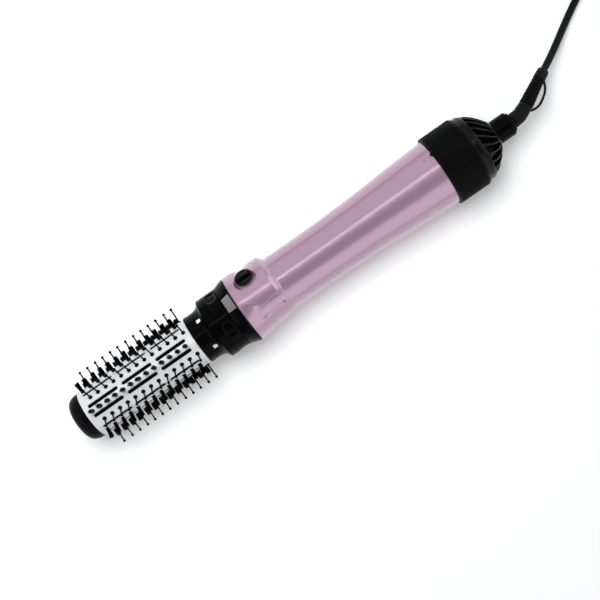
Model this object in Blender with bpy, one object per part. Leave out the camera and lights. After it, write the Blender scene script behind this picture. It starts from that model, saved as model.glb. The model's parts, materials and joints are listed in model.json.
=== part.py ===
"""Hot air brush: a handheld styler with a slide-off round brush head.

The device lies along X with the brush towards -X and the cord towards +X. Stations are
distances from the tip of the end cap, and angles run round the axis from +Y towards +Z.
"""

import math

import bmesh
import bpy
from mathutils import Matrix, Vector

# Overall size
LENGTH = 0.350  # end cap to the rear of the cord socket
AXIS_Z = 0.0255  # the ribbed collar stands on Z = 0
GAP = 0.0003  # between pieces that touch
HALF = LENGTH / 2

# Brush head
CAP_END = 0.0103
BARREL_START = CAP_END + GAP
BARREL_END = 0.0970
BARREL_R = 0.01685
BARREL_WALL = 0.0007
HEAD_ROLL = math.radians(86.4)  # angle of the bristle row nearest the top
ROW_COUNT = 6  # rows of tufts, and as many rows of pins between them
ELEMENTS = 13  # tufts or pins in a row
PITCH = 0.00622
TUFT_FIRST = 0.0156
PIN_FIRST = 0.0190
TUFT_HOLE = 0.0024
PIN_HOLE = 0.0018
TUFT_WIDTHS = (0.0014, 0.0024)  # at the foot and at the tip
PIN_WIDTHS = (0.0011, 0.0011)
TUFT_TIP_R = 0.0249
PIN_TIP_R = 0.0281
RAIL_TOP = 0.0156
RAIL_BOTTOM = 0.0142
RAIL_END = 0.0945
SLOTS = 3  # air slots in a row, with a row on each side of every tuft row
SLOT_FIRST = 0.0144
SLOT_LENGTH = 0.0236
SLOT_PITCH = 0.0271
SLOT_WIDTH = 0.0025
SLOT_ANGLE = math.radians(12.5)

# Head collar and the nose of the handle
COLLAR_START = BARREL_END + GAP
COLLAR_STEP = 0.1156
COLLAR_END = 0.1254
COLLAR_R = 0.01735
COLLAR_REAR_R = 0.02205
WINDOW_STATIONS = (0.1046, 0.1078)
WINDOW_WIDTH = 0.0042
WINDOW_ANGLES = (math.radians(53.4), math.radians(126.6))
NOSE_START = COLLAR_END + GAP
NOSE_END = 0.1330
NOSE_REAR_R = 0.0245
SPIGOT_START = 0.0978
SPIGOT_R = 0.0139
LATCH_ANGLES = (math.radians(55.8), math.radians(84.2))
LATCH_START = 0.1272
LATCH_END = 0.1321

# Casing
SHELL_START = NOSE_END + GAP
SHELL_END = 0.2930
NECK_END = 0.3000
NECK_R = 0.0212
WALL = 0.0020
CASING = (  # station and outer radius away from the switch pad
    (0.1333, 0.0240),
    (0.1420, 0.0227),
    (0.1520, 0.0214),
    (0.1615, 0.0205),
    (0.1650, 0.0194),
    (0.1960, 0.0194),
    (0.2120, 0.0197),
    (0.2360, 0.0205),
    (0.2520, 0.0215),
    (0.2720, 0.0227),
    (0.2930, 0.0236),
)
PAD = ((0.1333, 0.0245), (0.1397, 0.0245), (0.1557, 0.0235), (0.1610, 0.0234), (0.1638, 0.0194))
PAD_EDGES = (math.radians(-13), math.radians(103))
PAD_WALL = 0.0040
KNOB_AT = 0.1471
KNOB_ANGLE = math.radians(45)
KNOB_R = 0.00665
SCREW_STATIONS = (0.1800, 0.2700)

# Rear end
REAR_COLLAR_START = SHELL_END + GAP
REAR_COLLAR_END = 0.3170
REAR_SIDES = 32
BAND_START = REAR_COLLAR_END + GAP
BAND_END = 0.3219
GRILLE_FINS = 20
SOCKET_R = 0.0085

# Drive train and heater
SHAFT_R = 0.0010
MOTOR_R = 0.0120
MOTOR_START = 0.2280
MOTOR_END = 0.2580
FAN_START = 0.2660
FAN_END = 0.2780
FAN_R = 0.0159
FAN_BLADES = 7
DUCT_R = 0.0173
DUCT_START = 0.2240
DUCT_END = 0.2880
HEATER_START = 0.1390
HEATER_END = 0.2050
SHIELD_R = 0.0153
SHIELD_START = 0.1360
SHIELD_END = 0.2100

# Cord: its route in world metres from the rear socket to the coil
CORD_DIAMETER = 0.0050
RELIEF_R = 0.0053
RELIEF_TIP_R = 0.0040
LOOP_R = 0.0009
RELIEF_ROUTE = (
    (0.1771, 0.0000, 0.0255),
    (0.1835, 0.0006, 0.0253),
    (0.1900, 0.0033, 0.0245),
    (0.1976, 0.0073, 0.0228),
    (0.2053, 0.0114, 0.0203),
    (0.2150, 0.0161, 0.0166),
)
LOOP_ROUTE = (
    (0.1880, 0.0018, 0.0247),
    (0.1918, -0.0012, 0.0241),
    (0.1975, -0.0016, 0.0229),
    (0.2033, 0.0010, 0.0211),
    (0.2085, 0.0052, 0.0190),
    (0.2120, 0.0120, 0.0176),
)
LEAD_ROUTE = (
    (0.2150, 0.0161, 0.0166),
    (0.2220, 0.0196, 0.0135),
    (0.2300, 0.0239, 0.0101),
    (0.2385, 0.0288, 0.0069),
    (0.2475, 0.0342, 0.0043),
    (0.2570, 0.0398, 0.0029),
    (0.2670, 0.0455, 0.0027),
    (0.2780, 0.0518, 0.0029),
    (0.2910, 0.0594, 0.0032),
    (0.3046, 0.0671, 0.0034),
)
TAIL_ROUTE = (
    (0.3547, 0.0251, 0.0134),
    (0.3513, 0.0157, 0.0132),
    (0.3474, 0.0052, 0.0106),
    (0.3438, -0.0017, 0.0092),
    (0.3385, -0.0075, 0.0081),
    (0.3325, -0.0118, 0.0074),
    (0.3280, -0.0137, 0.0070),
    (0.3240, -0.0143, 0.0069),
    (0.3200, -0.0143, 0.0069),
)
PLUG_REAR_X = 0.3196
COIL_MEET = 0.0212  # a tube stops this far before the point where it joins the turns
COIL_CENTRE = (0.3220, 0.0370)
COIL_INNER_R = 0.0170
COIL_OUTER_R = 0.0376
COIL_BOTTOM = 0.0009
COIL_TOP = 0.0162
TIE_ANGLE = math.radians(45)
TIE_WIDTH = 0.0080
TIE_THICKNESS = 0.0005
TIE_TOP = COIL_TOP + 0.0009
PLUG_HEIGHT = 0.0069
PLUG_PIN_SPREAD = 0.0095

AXIS = Matrix.Translation((-HALF, 0, AXIS_Z))
MATERIALS = {  # colour, roughness, metallic
    "pink_lacquer": ((0.62, 0.42, 0.55), 0.30, 0.3),
    "black_gloss": ((0.012, 0.012, 0.014), 0.20, 0.0),
    "black_satin": ((0.020, 0.020, 0.022), 0.45, 0.0),
    "barrel_white": ((0.80, 0.80, 0.82), 0.35, 0.2),
    "bristle": ((0.010, 0.010, 0.010), 0.50, 0.0),
    "latch_grey": ((0.32, 0.32, 0.33), 0.40, 0.0),
    "steel": ((0.56, 0.57, 0.58), 0.30, 1.0),
    "brass": ((0.70, 0.52, 0.25), 0.35, 1.0),
    "mica": ((0.62, 0.52, 0.38), 0.60, 0.0),
    "board": ((0.10, 0.28, 0.14), 0.55, 0.0),
    "rubber": ((0.015, 0.015, 0.016), 0.60, 0.0),
}


def clear_scene():
    for old in list(bpy.data.objects):
        bpy.data.objects.remove(old, do_unlink=True)


def make_material(slot):
    material = bpy.data.materials.get(slot) or bpy.data.materials.new(slot)
    colour, roughness, metallic = MATERIALS[slot]
    material.use_nodes = True
    shader = material.node_tree.nodes["Principled BSDF"]
    shader.inputs["Base Color"].default_value = (*colour, 1)
    shader.inputs["Roughness"].default_value = roughness
    shader.inputs["Metallic"].default_value = metallic
    return material


def add_object(name, slot, bm, frame=AXIS):
    """Closes off a mesh as a named object whose origin is the frame's."""
    bmesh.ops.recalc_face_normals(bm, faces=bm.faces)
    mesh = bpy.data.meshes.new(name)
    bm.to_mesh(mesh)
    bm.free()
    mesh.materials.append(make_material(slot))
    mesh.shade_smooth()
    mesh.set_sharp_from_angle(angle=math.radians(35))
    result = bpy.data.objects.new(name, mesh)
    result.matrix_world = frame
    bpy.context.collection.objects.link(result)
    return result


def cut(target, cutter, operation="DIFFERENCE"):
    """Applies one exact boolean and removes the tool."""
    step = target.modifiers.new("cut", "BOOLEAN")
    step.operation = operation
    step.object = cutter
    bpy.context.view_layer.update()
    evaluated = target.evaluated_get(bpy.context.evaluated_depsgraph_get())
    mesh = bpy.data.meshes.new_from_object(evaluated)
    target.modifiers.remove(step)
    target.data = mesh
    bpy.data.objects.remove(cutter, do_unlink=True)


def radial_frame(station, angle):
    """A frame on the device's axis whose X points outwards at the angle."""
    out = Vector((0, math.cos(angle), math.sin(angle)))
    along = Vector((1, 0, 0))
    side = out.cross(along)
    turn = Matrix((out, side, along)).transposed().to_4x4()
    return Matrix.Translation((station - HALF, 0, AXIS_Z)) @ turn


def on_axis(station, angle, radius):
    return Vector((station, radius * math.cos(angle), radius * math.sin(angle)))


def turned(name, slot, profile, sides, frame=AXIS, start=0.0):
    """Turns a closed profile of (station, radius) about the frame's X."""
    bm = bmesh.new()
    rings = []
    for station, radius in profile:
        if radius == 0:
            rings.append([bm.verts.new((station, 0, 0))] * sides)
            continue
        steps = [start + 2 * math.pi * i / sides for i in range(sides)]
        rings.append([bm.verts.new(on_axis(station, a, radius)) for a in steps])
    for ring, following in zip(rings, rings[1:] + rings[:1]):
        for i in range(sides):
            j = (i + 1) % sides
            corners = [ring[i], ring[j], following[j], following[i]]
            corners = list(dict.fromkeys(corners))
            if len(corners) > 2:
                bm.faces.new(corners)
    return add_object(name, slot, bm, frame)


def extruded(name, slot, outline, low, high, frame=AXIS):
    """Extrudes an outline of (y, z) along the frame's X."""
    bm = bmesh.new()
    ends = [[bm.verts.new((x, y, z)) for y, z in outline] for x in (low, high)]
    for end in ends:
        bm.faces.new(end)
    for i in range(len(outline)):
        j = (i + 1) % len(outline)
        bm.faces.new((ends[0][i], ends[0][j], ends[1][j], ends[1][i]))
    return add_object(name, slot, bm, frame)


def rectangle(width, low, high):
    return ((-width / 2, low), (width / 2, low), (width / 2, high), (-width / 2, high))


def wedge(name, slot, stations, angles, radii, steps=3):
    """A block between two stations, two angles and two radii at each station."""
    bm = bmesh.new()
    turns = [angles[0] + (angles[1] - angles[0]) * i / steps for i in range(steps + 1)]
    loops = []
    for turn in turns:
        corners = [(0, 0), (1, 0), (1, 1), (0, 1)]
        loops.append([bm.verts.new(on_axis(stations[i], turn, radii[i][j])) for i, j in corners])
    bm.faces.new(loops[0])
    bm.faces.new(loops[-1])
    for loop, following in zip(loops, loops[1:]):
        for i in range(4):
            j = (i + 1) % 4
            bm.faces.new((loop[i], loop[j], following[j], following[i]))
    return add_object(name, slot, bm)


def interpolate(table, at):
    """Straight-line interpolation in a table of (station, value)."""
    for (a, low), (b, high) in zip(table, table[1:]):
        if at <= b:
            return low + (high - low) * max(0.0, (at - a) / (b - a))
    return table[-1][1]


def smooth_route(route, spacing, skip=(0.0, 0.0)):
    """Points about a spacing apart on a smooth curve, less a length at each end."""
    points = [Vector(p) for p in route]
    points = [2 * points[0] - points[1], *points, 2 * points[-1] - points[-2]]
    fine = []
    for a, b, c, d in zip(points, points[1:], points[2:], points[3:]):
        for i in range(20):
            t = i / 20
            bend = (2 * a - 5 * b + 4 * c - d) * t * t + (3 * b - a - 3 * c + d) * t**3
            fine.append(0.5 * (2 * b + (c - a) * t + bend))
    fine.append(points[-2])
    reach = sum((q - p).length for p, q in zip(fine, fine[1:])) - skip[1]
    count = max(2, round((reach - skip[0]) / spacing))
    marks = [skip[0] + (reach - skip[0]) * i / count for i in range(count + 1)]
    result, walked = [], 0.0
    for p, q in zip(fine, fine[1:]):
        step = (q - p).length
        while len(result) <= count and walked + step >= marks[len(result)] - 1e-9:
            result.append(p.lerp(q, (marks[len(result)] - walked) / step))
        walked += step
    return result


def swept(name, slot, points, radii, sides):
    """A closed round bar along points, with a radius at each point."""
    bm = bmesh.new()
    rings = []
    up = Vector((0, 0, 1))
    for i, (centre, radius) in enumerate(zip(points, radii)):
        ahead = points[min(i + 1, len(points) - 1)]
        behind = points[max(i - 1, 0)]
        along = (ahead - behind).normalized()
        side = along.cross(up).normalized()
        top = side.cross(along)
        turns = [2 * math.pi * k / sides for k in range(sides)]
        ring = [centre + radius * (side * math.cos(t) + top * math.sin(t)) for t in turns]
        rings.append([bm.verts.new(p) for p in ring])
    bm.faces.new(rings[0])
    bm.faces.new(rings[-1])
    for ring, following in zip(rings, rings[1:]):
        for k in range(sides):
            m = (k + 1) % sides
            bm.faces.new((ring[k], ring[m], following[m], following[k]))
    return add_object(name, slot, bm, Matrix())


# ---------------------------------------------------------------- brush head


def make_end_cap():
    profile = (
        (0.0000, 0.0000),
        (0.0000, 0.0085),
        (0.0008, 0.0122),
        (0.0028, 0.0149),
        (0.0056, 0.0163),
        (0.0085, BARREL_R),
        (CAP_END, BARREL_R),
        (CAP_END, 0.0137),
        (0.0150, 0.0137),
        (0.0150, 0.0122),
        (0.0040, 0.0122),
        (0.0022, 0.0000),
    )
    turned("end_cap", "black_satin", profile, 24)


def element_stations(kind):
    """The first and last station of each opening in a row of the barrel."""
    if kind == "slot":
        first = [SLOT_FIRST + SLOT_PITCH * i for i in range(SLOTS)]
        return [(at, at + SLOT_LENGTH) for at in first]
    start, size = (TUFT_FIRST, TUFT_HOLE) if kind == "tuft" else (PIN_FIRST, PIN_HOLE)
    middles = [start + PITCH * i for i in range(ELEMENTS)]
    return [(at - size / 2, at + size / 2) for at in middles]


def barrel_columns():
    """Angle spans round the barrel, with the kind of opening in each."""
    tuft = TUFT_HOLE / BARREL_R / 2
    pin = PIN_HOLE / BARREL_R / 2
    slot = SLOT_WIDTH / BARREL_R / 2
    sector = 2 * math.pi / ROW_COUNT
    edges = (
        (-tuft, "tuft"),
        (tuft, None),
        (SLOT_ANGLE - slot, "slot"),
        (SLOT_ANGLE + slot, None),
        (sector / 2 - pin, "pin"),
        (sector / 2 + pin, None),
        (sector - SLOT_ANGLE - slot, "slot"),
        (sector - SLOT_ANGLE + slot, None),
    )
    rows = range(ROW_COUNT)
    return [(HEAD_ROLL + sector * row + edge, kind) for row in rows for edge, kind in edges]


def make_barrel():
    """A perforated tube; each strip between two rows of openings is flat."""
    columns = barrel_columns()
    bm = bmesh.new()
    corners = {}

    def corner(index, station, layer):
        key = (index % len(columns), station, layer)
        if key not in corners:
            radius = BARREL_R - BARREL_WALL * layer
            place = on_axis(station, columns[key[0]][0], radius)
            corners[key] = bm.verts.new(place)
        return corners[key]

    def edge_stations(index):
        kinds = (columns[index % len(columns)][1], columns[index - 1][1])
        kind = kinds[0] or kinds[1]
        inner = [s for span in element_stations(kind) for s in span]
        return [BARREL_START, *inner, BARREL_END]

    def fill_strip(index, layer):
        left, right = edge_stations(index), edge_stations(index + 1)
        i = j = 0
        while i < len(left) - 1 or j < len(right) - 1:
            a, b = corner(index, left[i], layer), corner(index + 1, right[j], layer)
            if j == len(right) - 1 or (i < len(left) - 1 and left[i + 1] <= right[j + 1]):
                i += 1
                bm.faces.new((a, corner(index, left[i], layer), b))
            else:
                j += 1
                bm.faces.new((a, corner(index + 1, right[j], layer), b))

    def quad(*keys):
        bm.faces.new([corner(*key) for key in keys])

    for index, (_, kind) in enumerate(columns):
        after = index + 1
        for end in (BARREL_START, BARREL_END):
            quad((index, end, 0), (after, end, 0), (after, end, 1), (index, end, 1))
        if kind is None:
            fill_strip(index, 0)
            fill_strip(index, 1)
            continue
        stations = edge_stations(index)
        for low, high in zip(stations[0::2], stations[1::2]):
            for layer in (0, 1):
                near, far = (index, low, layer), (after, high, layer)
                quad(near, (after, low, layer), far, (index, high, layer))
        for low, high in zip(stations[1:-1:2], stations[2:-1:2]):
            for at in (low, high):
                quad((index, at, 0), (after, at, 0), (after, at, 1), (index, at, 1))
            for side in (index, after):
                quad((side, low, 0), (side, high, 0), (side, high, 1), (side, low, 1))
    add_object("barrel", "barrel_white", bm)


def make_bristle_strip(name, row_angle, first, widths, tip_r, thickness):
    """A rail under the barrel with a comb of teeth through its holes."""
    base, tip = widths
    outline = [(BARREL_START + GAP, RAIL_BOTTOM), (BARREL_START + GAP, RAIL_TOP)]
    for i in range(ELEMENTS):
        at = first + PITCH * i
        outline += [
            (at - base / 2, RAIL_TOP),
            (at - tip / 2, tip_r),
            (at + tip / 2, tip_r),
            (at + base / 2, RAIL_TOP),
        ]
    outline += [(RAIL_END, RAIL_TOP), (RAIL_END, RAIL_BOTTOM)]
    bm = bmesh.new()
    sides = []
    for side in (-thickness / 2, thickness / 2):
        sides.append([bm.verts.new((station, side, radius)) for station, radius in outline])
    for face in sides:
        bm.faces.new(face)
    for i in range(len(outline)):
        j = (i + 1) % len(outline)
        bm.faces.new((sides[0][i], sides[0][j], sides[1][j], sides[1][i]))
    turn = Matrix.Rotation(row_angle - math.pi / 2, 4, "X")
    add_object(name, "bristle", bm, AXIS @ turn)


def make_bristles():
    sector = 2 * math.pi / ROW_COUNT
    for row in range(ROW_COUNT):
        angle = HEAD_ROLL + sector * row
        name = f"tuft_strip_{row + 1}"
        make_bristle_strip(name, angle, TUFT_FIRST, TUFT_WIDTHS, TUFT_TIP_R, TUFT_WIDTHS[0])
        name = f"pin_strip_{row + 1}"
        angle += sector / 2
        make_bristle_strip(name, angle, PIN_FIRST, PIN_WIDTHS, PIN_TIP_R, PIN_WIDTHS[0])


def make_bristle_core():
    """The liner inside the rails that keeps every strip against the barrel."""
    profile = ((0.0154, 0.0138), (0.0935, 0.0138), (0.0935, 0.0130), (0.0154, 0.0130))
    turned("bristle_core", "black_satin", profile, 20)


def make_head_collar():
    profile = (
        (COLLAR_START, COLLAR_R),
        (0.1046, COLLAR_R),
        (0.1072, 0.0179),
        (0.1092, 0.0194),
        (0.1106, COLLAR_REAR_R),
        (COLLAR_STEP, COLLAR_REAR_R),
        (COLLAR_STEP, 0.0196),
        (COLLAR_END, 0.0196),
        (COLLAR_END, 0.0182),
        (0.1115, 0.0182),
        (0.1095, 0.0159),
        (COLLAR_START, 0.0159),
    )
    collar = turned("head_collar", "black_gloss", profile, 28)
    for angle in WINDOW_ANGLES:
        opening = rectangle(WINDOW_WIDTH, *WINDOW_STATIONS)
        frame = radial_frame(0, angle)
        cut(collar, extruded("tool", "steel", opening, 0.0145, 0.020, frame))


def make_collar_ring():
    start = COLLAR_STEP + GAP
    profile = (
        (start, COLLAR_REAR_R),
        (COLLAR_END, COLLAR_REAR_R),
        (COLLAR_END, 0.0200),
        (start, 0.0200),
    )
    turned("collar_ring", "black_gloss", profile, 28)


def make_inner_sleeve():
    profile = ((0.0958, 0.0155), (0.1085, 0.0155), (0.1085, 0.0144), (0.0958, 0.0144))
    turned("inner_sleeve", "barrel_white", profile, 24)


# ---------------------------------------------------------- nose and casing


def make_nose():
    profile = (
        (SPIGOT_START, SPIGOT_R),
        (0.1092, SPIGOT_R),
        (0.1092, 0.0150),
        (NOSE_START, 0.0150),
        (NOSE_START, COLLAR_REAR_R),
        (NOSE_END, NOSE_REAR_R),
        (NOSE_END, 0.0223),
        (0.1266, 0.0200),
        (0.1266, 0.0143),
        (0.1345, 0.0143),
        (0.1345, 0.0127),
        (SPIGOT_START, 0.0127),
    )
    nose = turned("nose_ring", "black_gloss", profile, 28)
    window = (LATCH_START - GAP, LATCH_END + GAP)
    play = math.radians(1.2)
    angles = (LATCH_ANGLES[0] - play, LATCH_ANGLES[1] + play)
    cut(nose, wedge("tool", "steel", window, angles, ((0.0175, 0.0265), (0.0175, 0.0265))))


def make_latch():
    slope = (NOSE_REAR_R - COLLAR_REAR_R) / (NOSE_END - NOSE_START)
    tops = [COLLAR_REAR_R + slope * (at - NOSE_START) + 0.0002 for at in (LATCH_START, LATCH_END)]
    radii = ((0.0192, tops[0]), (0.0192, tops[1]))
    wedge("release_latch", "latch_grey", (LATCH_START, LATCH_END), LATCH_ANGLES, radii)
    middle = sum(LATCH_ANGLES) / 2
    frame = radial_frame((LATCH_START + LATCH_END) / 2, middle)
    extruded("latch_spring", "steel", rectangle(0.0080, -0.0015, 0.0015), 0.0167, 0.0173, frame)


def pad_share(angle):
    """1 on the raised switch pad, 0 away from it, with a short slope between."""
    slope = math.radians(3)
    if angle > math.pi:
        angle -= 2 * math.pi
    rise = (angle - PAD_EDGES[0] + slope) / (2 * slope)
    fall = (PAD_EDGES[1] + slope - angle) / (2 * slope)
    return max(0.0, min(1.0, rise, fall))


def casing_radius(station, angle):
    plain = interpolate(CASING, station)
    raised = max(plain, interpolate(PAD, station))
    return plain + (raised - plain) * pad_share(angle)


def casing_inner_radius(station, angle):
    if station > SHELL_END - 0.012:
        return 0.0196
    plain = interpolate(CASING, station) - WALL
    raised = interpolate(PAD, station) - PAD_WALL
    return max(plain, plain + (raised - plain) * pad_share(angle))


def make_shell(name, degrees, seam_side):
    """Half of the casing: an outer and an inner skin joined round their edge."""
    stations = [SHELL_START, 0.1397, 0.148, 0.1557, 0.161, 0.1638, 0.1652, 0.196, 0.212, 0.236]
    stations += [0.252, 0.272, SHELL_END - 0.013, SHELL_END - 0.0115, SHELL_END]
    outer = [(at, None) for at in stations] + [(SHELL_END, NECK_R), (NECK_END, NECK_R)]
    inner = [(at, None) for at in stations] + [(NECK_END, 0.0196)]
    bm = bmesh.new()

    def place(station, angle, radius, column):
        point = on_axis(station, angle, radius)
        if column in (0, len(degrees) - 1):
            point.z = seam_side * GAP / 2
        return bm.verts.new(point)

    columns = []
    for column, angle in enumerate(math.radians(value) for value in degrees):
        loop = [place(at, angle, r or casing_radius(at, angle), column) for at, r in outer]
        back = [place(at, angle, r or casing_inner_radius(at, angle), column) for at, r in inner]
        columns.append(loop + back[::-1])
    bm.faces.new(columns[0])
    bm.faces.new(columns[-1])
    for loop, following in zip(columns, columns[1:]):
        for i in range(len(loop)):
            j = (i + 1) % len(loop)
            bm.faces.new((loop[i], loop[j], following[j], following[i]))
    return add_object(name, "pink_lacquer", bm)


def make_casing():
    upper = [0, 15, 30, 45, 60, 75, 90, 100, 106, 120, 135, 150, 165, 180]
    lower = [180, 195, 210, 225, 240, 255, 270, 285, 300, 315, 330, 344, 350, 360]
    top = make_shell("upper_shell", upper, 1)
    bottom = make_shell("lower_shell", lower, -1)
    well = (
        (0.0165, 0.0000),
        (0.0165, 0.0028),
        (0.0218, 0.0028),
        (0.0218, 0.0074),
        (0.0265, 0.0074),
        (0.0265, 0.0000),
    )
    cut(top, turned("tool", "steel", well, 16, radial_frame(KNOB_AT, KNOB_ANGLE)))
    for number, station in enumerate(SCREW_STATIONS, start=1):
        make_screw(f"casing_screw_{number}", station, bottom)


def make_screw(name, station, shell):
    """A sunk screw in the underside, and the stepped hole that it sits in."""
    outside = casing_radius(station, math.radians(270))
    seat = outside - 0.0012
    frame = radial_frame(station, math.radians(270))
    hole = ((seat - 0.002, 0), (seat - 0.002, 0.0016), (seat - GAP, 0.0016), (seat - GAP, 0.0028))
    hole += ((outside + 0.001, 0.0028), (outside + 0.001, 0))
    cut(shell, turned("tool", "steel", hole, 12, frame))
    body = ((seat - 0.0024, 0), (seat - 0.0024, 0.0012), (seat, 0.0012), (seat, 0.0024))
    body += ((seat + 0.0009, 0.0024), (seat + 0.0009, 0))
    turned(name, "steel", body, 12, frame)


def make_switch():
    frame = radial_frame(KNOB_AT, KNOB_ANGLE)
    body = ((0.0191, 0), (0.0191, 0.0024), (0.0221, 0.0024), (0.0221, KNOB_R), (0.0240, KNOB_R))
    body += ((0.0244, KNOB_R - 0.0005), (0.0244, 0))
    knob = turned("switch_knob", "black_gloss", body, 16, frame)
    ridge = rectangle(0.0022, -0.0055, 0.0055)
    cut(knob, extruded("tool", "black_gloss", ridge, 0.0235, 0.0251, frame), "UNION")
    block = rectangle(0.0084, -0.0060, 0.0060)
    extruded("switch_block", "black_satin", block, 0.0158, 0.0188, frame)


# ------------------------------------------------------ heater, motor and fan


def make_heater():
    shield = ((SHIELD_START, SHIELD_R), (SHIELD_END, SHIELD_R))
    shield += ((SHIELD_END, SHIELD_R - 0.0006), (SHIELD_START, SHIELD_R - 0.0006))
    turned("heater_shield", "mica", shield, 20)
    arm, thin = 0.0108, 0.0004
    cross = ((arm, thin), (thin, thin), (thin, arm), (-thin, arm), (-thin, thin), (-arm, thin))
    cross += tuple((-y, -z) for y, z in cross)
    extruded("heater_frame", "mica", cross, HEATER_START, HEATER_END)
    turns, steps = 6, 8
    points = []
    for i in range(turns * steps + 1):
        at = HEATER_START + 0.004 + (HEATER_END - HEATER_START - 0.008) * i / (turns * steps)
        points.append(AXIS @ on_axis(at, 2 * math.pi * i / steps, 0.0131))
    swept("heating_coil", "steel", points, [0.0006] * len(points), 4)
    button = ((0.2060, 0), (0.2060, 0.0045), (0.2090, 0.0045), (0.2090, 0))
    turned("thermostat", "steel", button, 12)


def make_motor():
    can = (
        (MOTOR_START, 0.0014),
        (MOTOR_START, MOTOR_R - 0.001),
        (MOTOR_START + 0.001, MOTOR_R),
        (MOTOR_END - 0.001, MOTOR_R),
        (MOTOR_END, MOTOR_R - 0.001),
        (MOTOR_END, 0.0014),
    )
    turned("motor", "steel", can, 18)
    start = MOTOR_END + GAP
    bush = ((start, 0.0014), (start, 0.0033), (start + 0.0024, 0.0033), (start + 0.0024, 0.0014))
    turned("motor_bearing", "brass", bush, 12)
    shaft = ((0.2240, 0), (0.2240, SHAFT_R), (0.2810, SHAFT_R), (0.2810, 0))
    turned("motor_shaft", "steel", shaft, 10)
    extruded("rectifier_board", "board", rectangle(0.0200, -0.0060, 0.0060), 0.2150, 0.2162)


def make_fan():
    """A hub and twisted blades as one star section with a bore."""
    bore, hub = SHAFT_R + 0.0004, 0.0045
    pitch = 2 * math.pi / FAN_BLADES
    bm = bmesh.new()
    sections = []
    for share in (0.0, 0.5, 1.0):
        station = FAN_START + (FAN_END - FAN_START) * share
        twist = math.radians(38) * share
        outer, inner = [], []
        for blade in range(FAN_BLADES):
            for offset, radius in ((0.0, hub), (0.05, FAN_R), (0.11, FAN_R), (0.26, hub)):
                angle = twist + pitch * (blade + offset)
                even = twist + pitch * (blade + (0.0, 0.1, 0.2, 0.6)[len(outer) % 4])
                outer.append(bm.verts.new(on_axis(station, angle, radius)))
                inner.append(bm.verts.new(on_axis(station, even, bore)))
        sections.append((outer, inner))
    count = 4 * FAN_BLADES
    for i in range(count):
        j = (i + 1) % count
        for (outer, inner), (next_outer, next_inner) in zip(sections, sections[1:]):
            bm.faces.new((outer[i], outer[j], next_outer[j], next_outer[i]))
            bm.faces.new((inner[i], inner[j], next_inner[j], next_inner[i]))
        for outer, inner in (sections[0], sections[-1]):
            bm.faces.new((outer[i], outer[j], inner[j], inner[i]))
    bmesh.ops.triangulate(bm, faces=bm.faces)
    add_object("fan", "black_satin", bm)


def make_fan_duct():
    """The tube round the fan, with three struts and a ring for the motor."""
    tube = ((DUCT_START, DUCT_R), (DUCT_END, DUCT_R))
    tube += ((DUCT_END, DUCT_R - 0.0008), (DUCT_START, DUCT_R - 0.0008))
    duct = turned("fan_duct", "black_satin", tube, 20)
    grip = ((0.2360, 0.0138), (0.2480, 0.0138), (0.2480, 0.0125), (0.2360, 0.0125))
    cut(duct, turned("tool", "black_satin", grip, 20), "UNION")
    for i in range(3):
        frame = radial_frame(0, math.radians(30 + 120 * i))
        strut = rectangle(0.0020, 0.2370, 0.2470)
        cut(duct, extruded("tool", "black_satin", strut, 0.0130, DUCT_R - 0.0004, frame), "UNION")


# ------------------------------------------------------------------ rear end


def make_rear_collar():
    flat_r = AXIS_Z / math.cos(math.pi / REAR_SIDES)
    profile = (
        (REAR_COLLAR_START, flat_r),
        (REAR_COLLAR_END, flat_r),
        (REAR_COLLAR_END, 0.0226),
        (0.3015, 0.0226),
        (0.3015, 0.0217),
        (REAR_COLLAR_START, 0.0217),
    )
    turned("rear_collar", "black_satin", profile, REAR_SIDES, start=math.pi / REAR_SIDES)
    band = ((BAND_START, 0.0247), (BAND_END, 0.0237), (BAND_END, 0.0208), (BAND_START, 0.0208))
    turned("ring_band", "black_gloss", band, 28)
    mesh = ((0.3190, 0.0204), (0.3198, 0.0204), (0.3198, 0.0093), (0.3190, 0.0093))
    turned("inlet_filter", "steel", mesh, 24)


def make_grille():
    """A dome whose swirling fins leave open gaps between its two rings."""
    dome = (
        (BAND_END + GAP, 0.0235),
        (0.3238, 0.0229),
        (0.3276, 0.0205),
        (0.3326, 0.0160),
        (0.3360, 0.0118),
        (0.3380, 0.0090),
    )
    depth = 0.0020
    count = 2 * GRILLE_FINS
    bm = bmesh.new()
    layers = []
    for inset in (0.0, depth):
        rings = []
        for row, (station, radius) in enumerate(dome):
            swirl = math.radians(34) * max(0, row - 1) / (len(dome) - 2)
            angles = [swirl + 2 * math.pi * i / count for i in range(count)]
            last = row == len(dome) - 1
            r = radius if last else radius - 0.6 * inset
            x = station - inset * (0.0 if row == 0 else 0.8)
            rings.append([bm.verts.new(on_axis(x, a, r)) for a in angles])
        layers.append(rings)
    outer, inner = layers

    def is_open(row, column):
        return 1 <= row <= len(dome) - 3 and column % 2 == 1

    for row in range(len(dome) - 1):
        for i in range(count):
            j = (i + 1) % count
            if is_open(row, i):
                continue
            for rings in layers:
                here, after = rings[row], rings[row + 1]
                bm.faces.new((here[i], here[j], after[j], after[i]))
            for side, edge in ((i - 1, i), (i + 1, j)):
                if is_open(row, side):
                    above = (outer[row][edge], outer[row + 1][edge])
                    bm.faces.new((*above, inner[row + 1][edge], inner[row][edge]))
    for i in range(count):
        j = (i + 1) % count
        rims = [0, len(dome) - 1]
        if i % 2 == 1:
            rims += [1, len(dome) - 2]
        for row in rims:
            bm.faces.new((outer[row][i], outer[row][j], inner[row][j], inner[row][i]))
    add_object("inlet_grille", "black_gloss", bm)


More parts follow.
